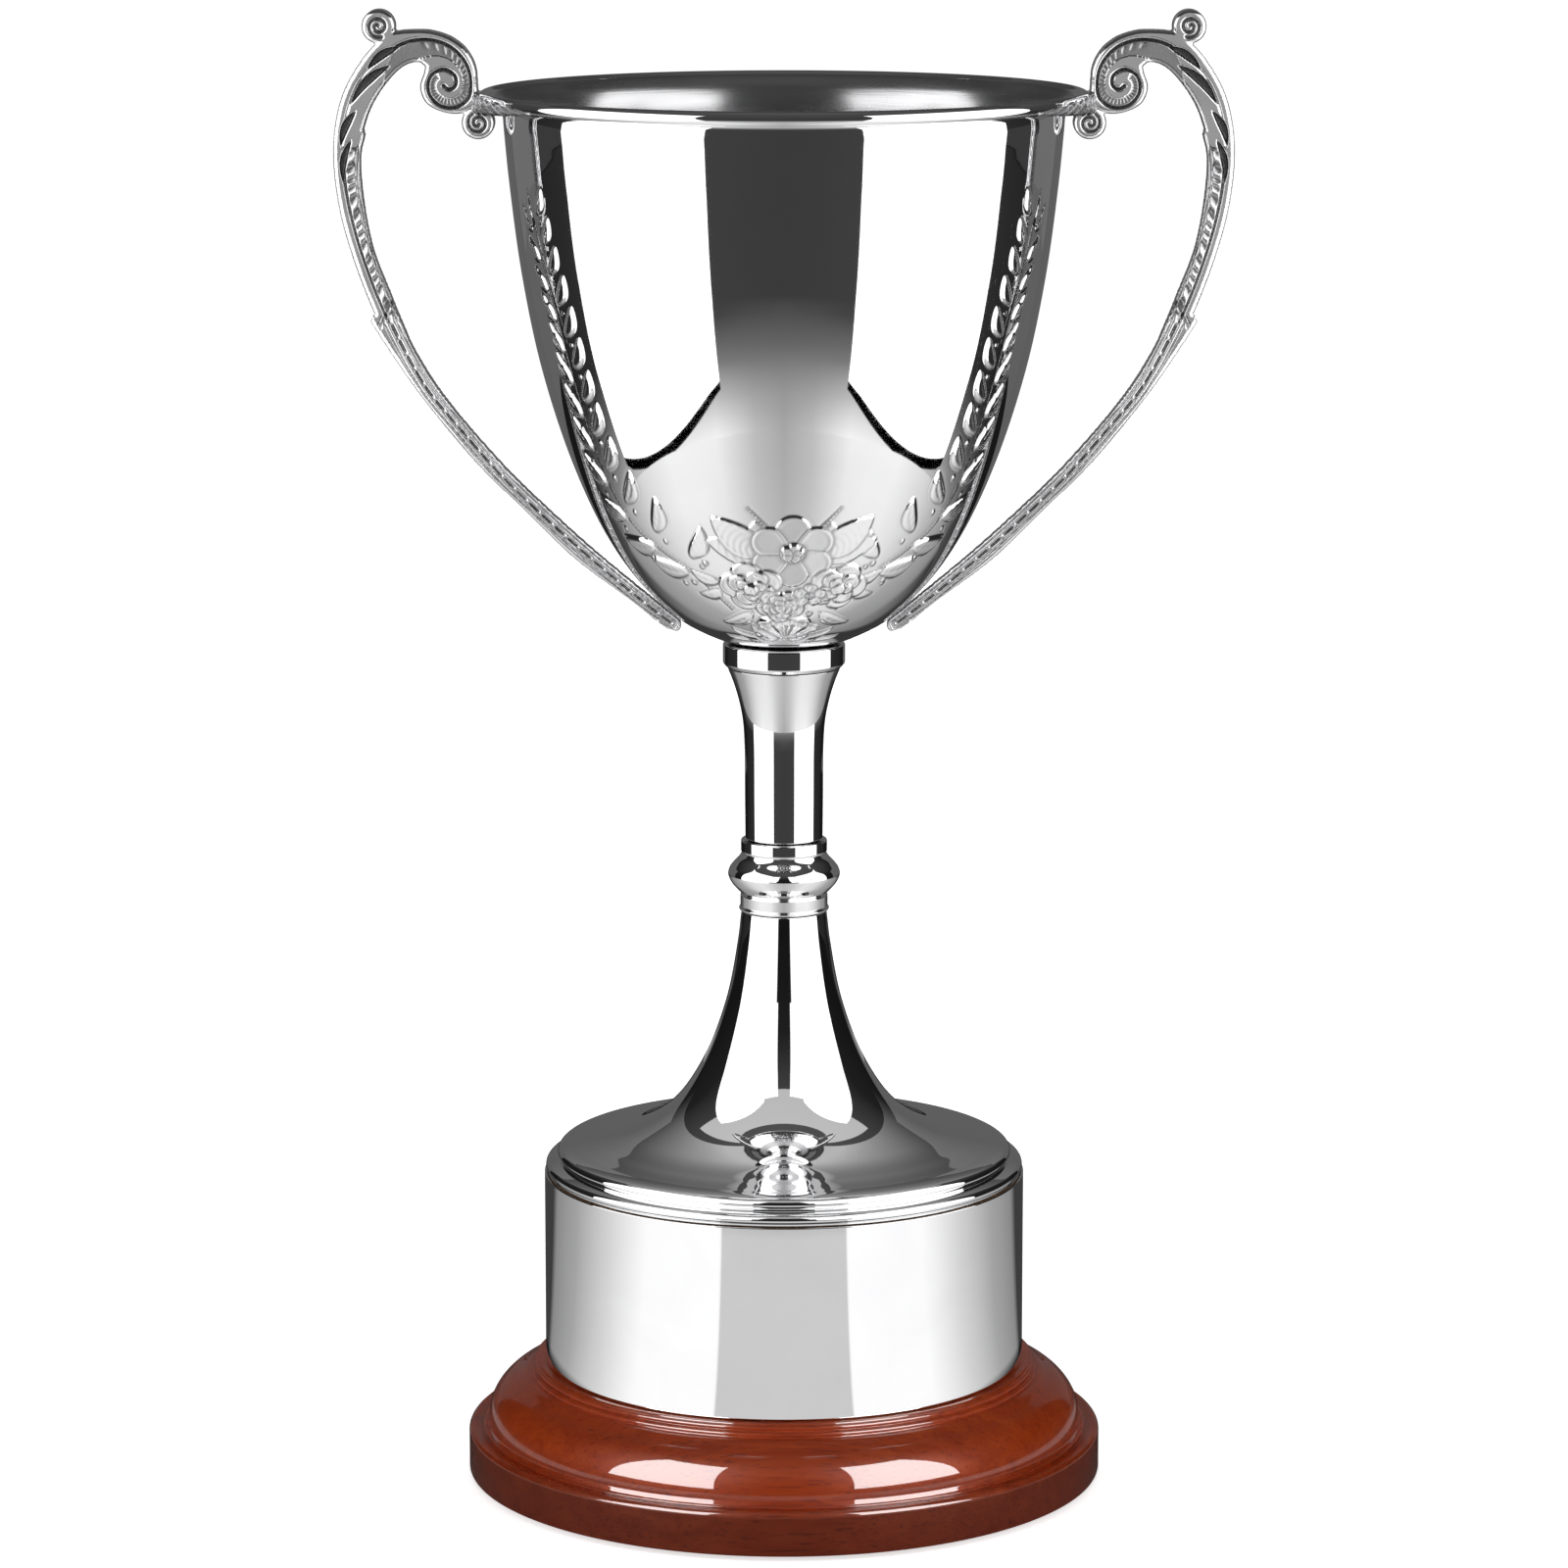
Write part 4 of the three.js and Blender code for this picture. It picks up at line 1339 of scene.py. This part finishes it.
def hexagonal_mesh(across_flats, bore, bottom, top, dome=None):
    """A chamfered hexagon, with a through bore, or closed by a dome."""
    sides = 96
    angles = np.arange(sides) * 2 * math.pi / sides
    sector = (angles + math.pi / 6) % (math.pi / 3) - math.pi / 6
    hexagon = across_flats / 2 / np.cos(sector)
    corner = across_flats / math.sqrt(3)
    chamfer = 1.0
    levels = [(bottom, 0), (bottom + chamfer / 2, 0.5), (bottom + chamfer, 1)]
    levels += [(top - chamfer, 1), (top - chamfer / 2, 0.5), (top, 0)]
    rings = []
    for z, share in levels:
        limit = across_flats / 2 + (corner - across_flats / 2) * share + 0.02
        rings.append((np.minimum(hexagon, limit), z))
    if dome:
        for angle in np.radians(np.linspace(0, 80, 9)):
            rings.append((np.full(sides, dome * math.cos(angle)), top + dome * math.sin(angle)))
        rings.append((np.full(sides, 0.3), top + dome))
        rings.append((np.full(sides, 0.2), top + dome - 1.0))
        rings.append((np.full(sides, bore), top + dome - 2.0))
    else:
        rings.append((np.full(sides, bore), top))
    rings.append((np.full(sides, bore), bottom))
    circle = np.stack([np.cos(angles), np.sin(angles)], axis=1)
    vertices = [np.column_stack([radius[:, None] * circle, np.full(sides, z)]) for radius, z in rings]
    count = len(rings)
    faces = [ring_faces(k * sides, ((k + 1) % count) * sides, sides) for k in range(count)]
    return np.concatenate(vertices) * MM, np.concatenate(faces)


def build_nut(node, material, dome=None):
    low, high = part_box(node)
    flats = min(high.x - low.x, high.y - low.y) / MM
    top = high.z / MM - (dome or 0)
    vertices, faces = hexagonal_mesh(flats, NUT_BORE, low.z / MM, top, dome)
    piece = add_piece(node + "_chamfered", node, vertices, faces, material)
    piece.data.set_sharp_from_angle(angle=math.radians(25))


def build_washer(node, material):
    bottom, top, radius = level(node)
    outline = softened([(BORE, bottom), (radius, bottom), (radius, top), (BORE, top)], 0.3)
    turned_piece(node + "_ring", node, outline, material, 96)


def build_rod():
    """The tie rod with its thread."""
    bottom, top, radius = level("tie_rod")
    sides = 32
    steps = int((top - bottom) / THREAD_PITCH * 4)
    angles = np.arange(sides) * 2 * math.pi / sides
    vertices = []
    for k in range(steps + 1):
        z = bottom + (top - bottom) * k / steps
        phase = (z / THREAD_PITCH - angles / (2 * math.pi)) % 1.0
        ends = min(1.0, 0.75 + 0.25 * min(z - bottom, top - z))
        r = (radius - 0.7 * abs(2 * phase - 1)) * ends
        vertices.append(np.column_stack([r * np.cos(angles), r * np.sin(angles), np.full(sides, z)]))
    faces = [ring_faces(k * sides, (k + 1) * sides, sides) for k in range(steps)]
    faces = np.concatenate(faces).tolist()
    faces.append(list(range(sides))[::-1])
    faces.append(list(range(steps * sides, (steps + 1) * sides)))
    add_piece("tie_rod_threaded", "tie_rod", np.concatenate(vertices) * MM, faces, "zinc_steel")


def finish_hidden_nodes():
    """The CAD nodes that stay: the timber drum and its screws."""
    looks = {"plinth_drum": "raw_timber"}
    looks.update({f"drum_screw_{k}": "zinc_steel" for k in (1, 2, 3)})
    for node, key in looks.items():
        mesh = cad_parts[node].data
        mesh.materials.clear()
        mesh.materials.append(MATERIALS[key])


# ---------------------------------------------------------------- studio

PANEL_FRONT = (0.275, -0.47)  # plan positions of a side panel's two upright edges
PANEL_REAR = (0.49, 0.055)
PANEL_TOP = 0.75
PANEL_LIFT = 0.019  # the dark foot under each panel
PANEL_LIGHT = 1.7
BOWL_PIECES = ["bowl_chased", "rim_bead_wire"]
HANDLE_PIECES = ["handle_right_cast", "handle_left_cast"]
STEM_PIECES = ["foot_spun", "knop_turned"]
METAL_PIECES = [
    *BOWL_PIECES,
    *HANDLE_PIECES,
    "stem_collar_turned",
    "upper_stem_spun",
    "knop_turned",
    "foot_spun",
    "plinth_band_polished",
    "bowl_washer_ring",
    "cap_nut_chamfered",
]
TABLE_RADIUS = 2.2
RING_HEIGHT = 1.5
RING_RADII = (0.52, 1.35)
RING_REACH = 125  # degrees from the front to either end of the ring
VEIL_HEIGHT = 0.12
VEIL_RADII = (0.03, 0.285)
CIRCLE_SIDES = 96
FLOOR_REACH = 14.0
FLOOR_LEVEL = -0.001
# The curved panels on each side: name, level, pieces lit, azimuths of the starting edge's foot,
# of the other edge and of the starting edge's top, lowest and highest height, and radius.
SIDE_WALLS = [
    ("near_filler", 1.3, STEM_PIECES, (12, 31, 9), (0.28, 0.72), 0.545),
    ("far_filler", 1.3, STEM_PIECES, (15, 36, 15), (0.10, 0.65), 1.2),
    ("lamp", 16.0, ["plinth_base_turned"], (24, 64, 29), (0.07, 0.66), 0.44),
    ("bowl_side", 0.12, BOWL_PIECES + ["upper_stem_spun", "knop_turned"], (120, 147, 120), (0.0, 0.6), 1.1),
]
SOFT_POWER = 6
SOFT_LIGHTS = [  # name, place, target and size of each
    ("left_soft", (-1.1, -0.9, 1.0), (0, 0, 0.15), 0.9),
    ("right_soft", (1.1, -0.9, 1.0), (0, 0, 0.15), 0.9),
    ("top_soft", (0, 0, 1.7), (0, 0, 0), 1.2),
    ("back_soft", (0, 1.6, 1.2), (0, 0, 0.2), 1.2),
]


def emission_material(name, level):
    material = bpy.data.materials.new(name)
    material.use_nodes = True
    tree = material.node_tree
    tree.nodes.clear()
    glow = add_node(tree, "ShaderNodeEmission", Color=(1.0, 1.0, 1.0, 1.0), Strength=level)
    output = add_node(tree, "ShaderNodeOutputMaterial")
    tree.links.new(glow.outputs[0], output.inputs["Surface"])
    return material, tree, glow


def stage_mesh(name, vertices, faces, material, camera=False, glossy=True, diffuse=False):
    mesh = bpy.data.meshes.new(name)
    mesh.from_pydata([tuple(v) for v in vertices], [], faces)
    mesh.materials.append(material)
    item = bpy.data.objects.new(name, mesh)
    bpy.context.scene.collection.objects.link(item)
    item.visible_camera = camera
    item.visible_glossy = glossy
    item.visible_diffuse = diffuse
    item.visible_shadow = False
    item.visible_transmission = False
    return item


def flat_wall(name, start, end, low, high, material):
    """An upright panel between two plan positions."""
    corners = [(*start, low), (*end, low), (*end, high), (*start, high)]
    return stage_mesh(name, corners, [(0, 1, 2, 3)], material)


def curved_wall(name, start, end, low, high, radius, material, top_start=None, steps=24):
    """An upright panel curved round the trophy, between two azimuths from the front.
    Its starting edge may lean, to another azimuth at the top."""
    lower = facing(np.linspace(start, end, steps)) * radius
    upper = facing(np.linspace(start if top_start is None else top_start, end, steps)) * radius
    vertices = [(*place, low) for place in lower] + [(*place, high) for place in upper]
    faces = [(k, k + 1, steps + k + 1, steps + k) for k in range(steps - 1)]
    return stage_mesh(name, vertices, faces, material)


def set_surface(tree, shader):
    output = next(node for node in tree.nodes if node.type == "OUTPUT_MATERIAL")
    tree.links.new(shader.outputs[0], output.inputs["Surface"])


def glow_only_for(item, names):
    """Lets a panel light only the named pieces. Everything else sees straight through it."""
    tree = item.data.materials[0].node_tree
    glow = next(node for node in tree.nodes if node.type == "EMISSION")
    both = add_node(tree, "ShaderNodeAddShader")
    tree.links.new(glow.outputs[0], both.inputs[0])
    tree.links.new(add_node(tree, "ShaderNodeBsdfTransparent").outputs[0], both.inputs[1])
    set_surface(tree, both)
    receivers = bpy.data.collections.new(item.name + "_receivers")
    for name in names:
        receivers.objects.link(bpy.data.objects[name])
    item.light_linking.receiver_collection = receivers


def glow_wall(name, level, pieces, *shape, **details):
    """A curved panel that lights only the given pieces. Its shape is as for curved_wall."""
    material, tree, glow = emission_material(name + "_glow", level)
    glow_only_for(curved_wall(name, *shape, material, **details), pieces)
    return tree, glow


def round_the_trophy(tree):
    """A place's azimuth, from 0 in front to 1 behind on either side, and its distance from the axis."""
    separate = add_node(tree, "ShaderNodeSeparateXYZ", Vector=position(tree))
    x, y = separate.outputs[0], separate.outputs[1]
    flat = add_node(tree, "ShaderNodeCombineXYZ", X=x, Y=y)
    forward = math_node(tree, "MULTIPLY", y, -1.0)
    turn = math_node(tree, "ARCTAN2", math_node(tree, "ABSOLUTE", x), forward)
    return math_node(tree, "DIVIDE", turn, math.pi), length(tree, flat.outputs[0])


def reflected_table():
    """The table as the metal sees it: bright beside the panels, and fading away in front and behind."""
    material, tree, glow = emission_material("table_glow", 1.0)
    share, reach = round_the_trophy(tree)
    beside = ramp(
        tree,
        share,
        [(0.153, 1.15), (0.35, 1.12), (0.47, 0.75), (0.60, 0.42), (0.72, 0.28), (0.755, 0.05)],
    )
    spread = ramp(
        tree,
        reach,
        [(0.155, 0.06), (0.168, 1.0), (0.43, 1.0), (0.52, 0.55), (0.64, 0.20), (0.80, 0.05)],
    )
    middle = ramp(tree, share, [(0.0, 0.0), (0.149, 0.0), (0.153, 1.0)])
    far_middle = ramp(tree, share, [(0.0, 0.0), (0.08, 0.20), (0.19, 0.85)])
    far = ramp(tree, reach, [(0.40, 0.0), (0.43, 1.0)])
    front = ramp(
        tree,
        reach,
        [(0.155, 0.05), (0.168, 0.68), (0.39, 0.68), (0.42, 0.45), (0.52, 0.35), (0.69, 0.15), (0.85, 0.05)],
    )
    edge_mix = mix(tree, far, middle, far_middle)
    light = mix(tree, edge_mix, front, multiply(tree, beside, spread))
    tree.links.new(light, glow.inputs["Color"])
    edge = facing(np.linspace(0, 360, CIRCLE_SIDES, endpoint=False)) * TABLE_RADIUS
    vertices = [(*place, FLOOR_LEVEL / 2) for place in edge]
    stage_mesh("table_reflection", vertices, [list(range(CIRCLE_SIDES))], material)


def reflected_veil():
    """A level glow above the plinth that only the bowl's underside mirrors, as a soft sheen
    that is greyest in front. It can't be seen from below."""
    material, tree, glow = emission_material("veil_glow", 1.0)
    share, reach = round_the_trophy(tree)
    inner = ramp(
        tree,
        share,
        [(0.0, 0.56), (0.10, 0.66), (0.26, 0.92), (0.42, 0.80), (0.60, 0.42), (0.81, 0.29), (0.85, 0.04)],
    )
    outer = ramp(
        tree,
        share,
        [
            *[(0.0, 0.45), (0.08, 0.58), (0.19, 1.0), (0.35, 1.05)],
            *[(0.47, 0.80), (0.60, 0.42), (0.72, 0.28), (0.76, 0.04)],
        ],
    )
    rise = ramp(tree, reach, [(0.06, 0.0), (0.28, 1.0)])
    tree.links.new(mix(tree, rise, inner, outer), glow.inputs["Color"])
    clear = add_node(tree, "ShaderNodeBsdfTransparent")
    choose = add_node(tree, "ShaderNodeMixShader")
    geometry = add_node(tree, "ShaderNodeNewGeometry")
    tree.links.new(geometry.outputs["Backfacing"], choose.inputs[0])
    tree.links.new(glow.outputs[0], choose.inputs[1])
    tree.links.new(clear.outputs[0], choose.inputs[2])
    set_surface(tree, choose)
    circle = facing(np.linspace(0, 360, CIRCLE_SIDES, endpoint=False))
    vertices = [(*place, VEIL_HEIGHT) for size in VEIL_RADII for place in circle * size]
    faces = [face[::-1] for face in ring_faces(0, CIRCLE_SIDES, CIRCLE_SIDES).tolist()]
    stage_mesh("veil", vertices, faces, material)


def overhead_ring():
    """A broad overhead ring that the foot mirrors round the neck of its flare."""
    count = 48
    sweep = facing(np.linspace(-RING_REACH, RING_REACH, count))
    corners = [(*place, RING_HEIGHT) for size in RING_RADII for place in sweep * size]
    quads = [(k, k + 1, count + k + 1, count + k) for k in range(count - 1)]
    ring = stage_mesh("ring", corners, quads, emission_material("ring_glow", 0.50)[0])
    glow_only_for(ring, ["foot_spun"])


def build_floor():
    """The pale floor that the camera sees. It gets lighter away from the trophy."""
    material, tree, shader = new_material("pale_floor")
    speckle = noise(tree, position(tree), 40.0, 3.0)
    reach = length(tree, position(tree))
    set_shader(
        tree,
        shader,
        Base_Color=ramp(tree, speckle, [(0.0, 0.90), (1.0, 0.93)]),
        Roughness=0.9,
        Specular_IOR_Level=0.1,
        Emission_Color=(1, 1, 1, 1),
        Emission_Strength=ramp(tree, reach, [(0.08, 0.66), (0.30, 1.0)]),
    )
    signs = ((-1, -1), (1, -1), (1, 1), (-1, 1))
    corners = [(FLOOR_REACH * x, FLOOR_REACH * y, FLOOR_LEVEL) for x, y in signs]
    floor = stage_mesh(
        "floor", corners, [(0, 1, 2, 3)], material, camera=True, glossy=False, diffuse=True
    )
    floor.visible_shadow = True


def add_soft_light(name, place, target, size):
    """A broad light that shades matt surfaces and isn't mirrored in the metal."""
    data = bpy.data.lights.new(name, "AREA")
    data.shape = "DISK"
    data.size = size
    data.energy = SOFT_POWER
    light = bpy.data.objects.new(name, data)
    light.location = place
    aim = Vector(target) - Vector(place)
    light.rotation_euler = aim.to_track_quat("-Z", "Y").to_euler()
    light.visible_glossy = False
    light.visible_camera = False
    bpy.context.scene.collection.objects.link(light)


def build_world():
    """White behind the object for the camera, and a dim grey room for everything else."""
    world = bpy.data.worlds.new("studio")
    bpy.context.scene.world = world
    world.use_nodes = True
    tree = world.node_tree
    tree.nodes.clear()
    path = add_node(tree, "ShaderNodeLightPath")
    direction = add_node(tree, "ShaderNodeTexCoord").outputs["Generated"]
    sky = ramp(tree, upward(tree, direction), [(0.0, 0.008), (0.40, 0.015), (0.70, 0.05), (1.0, 0.09)])
    room = add_node(tree, "ShaderNodeBackground", Color=sky, Strength=1.0)
    backdrop = add_node(tree, "ShaderNodeBackground", Color=(1.0, 1.0, 1.0, 1.0), Strength=1.0)
    choose = add_node(tree, "ShaderNodeMixShader")
    tree.links.new(path.outputs["Is Camera Ray"], choose.inputs[0])
    tree.links.new(room.outputs[0], choose.inputs[1])
    tree.links.new(backdrop.outputs[0], choose.inputs[2])
    output = add_node(tree, "ShaderNodeOutputWorld")
    tree.links.new(choose.outputs[0], output.inputs["Surface"])


def side_panels(side, hand):
    """The panels on one side. Hand is 1 to the right, -1 to the left."""
    front = (hand * PANEL_FRONT[0], PANEL_FRONT[1])
    rear = (hand * PANEL_REAR[0], PANEL_REAR[1])
    bright = emission_material(f"panel_{side}_glow", PANEL_LIGHT)[0]
    dark = emission_material(f"panel_foot_{side}_glow", 0.0)[0]
    wall = flat_wall(f"panel_{side}", front, rear, PANEL_LIFT, PANEL_TOP, bright)
    glow_only_for(wall, METAL_PIECES)
    flat_wall(f"panel_foot_{side}", front, rear, 0.0, PANEL_LIFT, dark)
    for name, level, pieces, azimuths, heights, radius in SIDE_WALLS:
        start, end, top_start = (azimuth * hand for azimuth in azimuths)
        glow_wall(f"{name}_{side}", level, pieces, start, end, *heights, radius, top_start=top_start)


def high_panel():
    """A tall panel behind, dark at its foot, that the foot mirrors."""
    top = 2.6
    tree, glow = glow_wall("high_panel", 0.45, ["foot_spun"], 135, 225, 0.3, top, 0.9)
    share = math_node(tree, "DIVIDE", upward(tree, position(tree)), top)
    tree.links.new(ramp(tree, share, [(0.12, 0.0), (0.70, 1.0)]), glow.inputs["Color"])


def build_studio():
    build_world()
    build_floor()
    reflected_table()
    reflected_veil()
    side_panels("left", -1)
    side_panels("right", 1)
    high_panel()
    overhead_ring()
    all_round = TABLE_RADIUS + 0.02
    lit = [*BOWL_PIECES, *HANDLE_PIECES]
    glow_wall("bowl_fill", 0.040, lit, 0, 360, 0.0, 2.2, all_round, steps=CIRCLE_SIDES)
    glow_wall("handle_fill", 0.36, HANDLE_PIECES, -75, 75, -0.1, 1.3, 1.3)
    glow_wall("handle_back_fill", 0.25, HANDLE_PIECES, 105, 255, -0.1, 1.3, 1.3)
    curved_wall("back_panel", 147, 213, 0.0, 0.6, 1.1, emission_material("back_glow", 0.12)[0])
    for light in SOFT_LIGHTS:
        add_soft_light(*light)
    bpy.context.scene.view_settings.view_transform = "Standard"


# ---------------------------------------------------------------- assembly

build_base()
build_band()
for pin in (1, 2, 3, 4):
    build_pin(f"band_pin_{pin}")
build_baize()
build_foot()
build_knop()
build_upper_stem()
build_collar()
build_bowl()
build_rim_bead()
build_handles()
build_nut("lower_nut", "zinc_steel")
build_nut("cap_nut", "satin_nickel", CAP_DOME)
build_washer("lower_washer", "zinc_steel")
build_washer("bowl_washer", "satin_nickel")
build_rod()
finish_hidden_nodes()
build_studio()

bpy.context.view_layer.update()
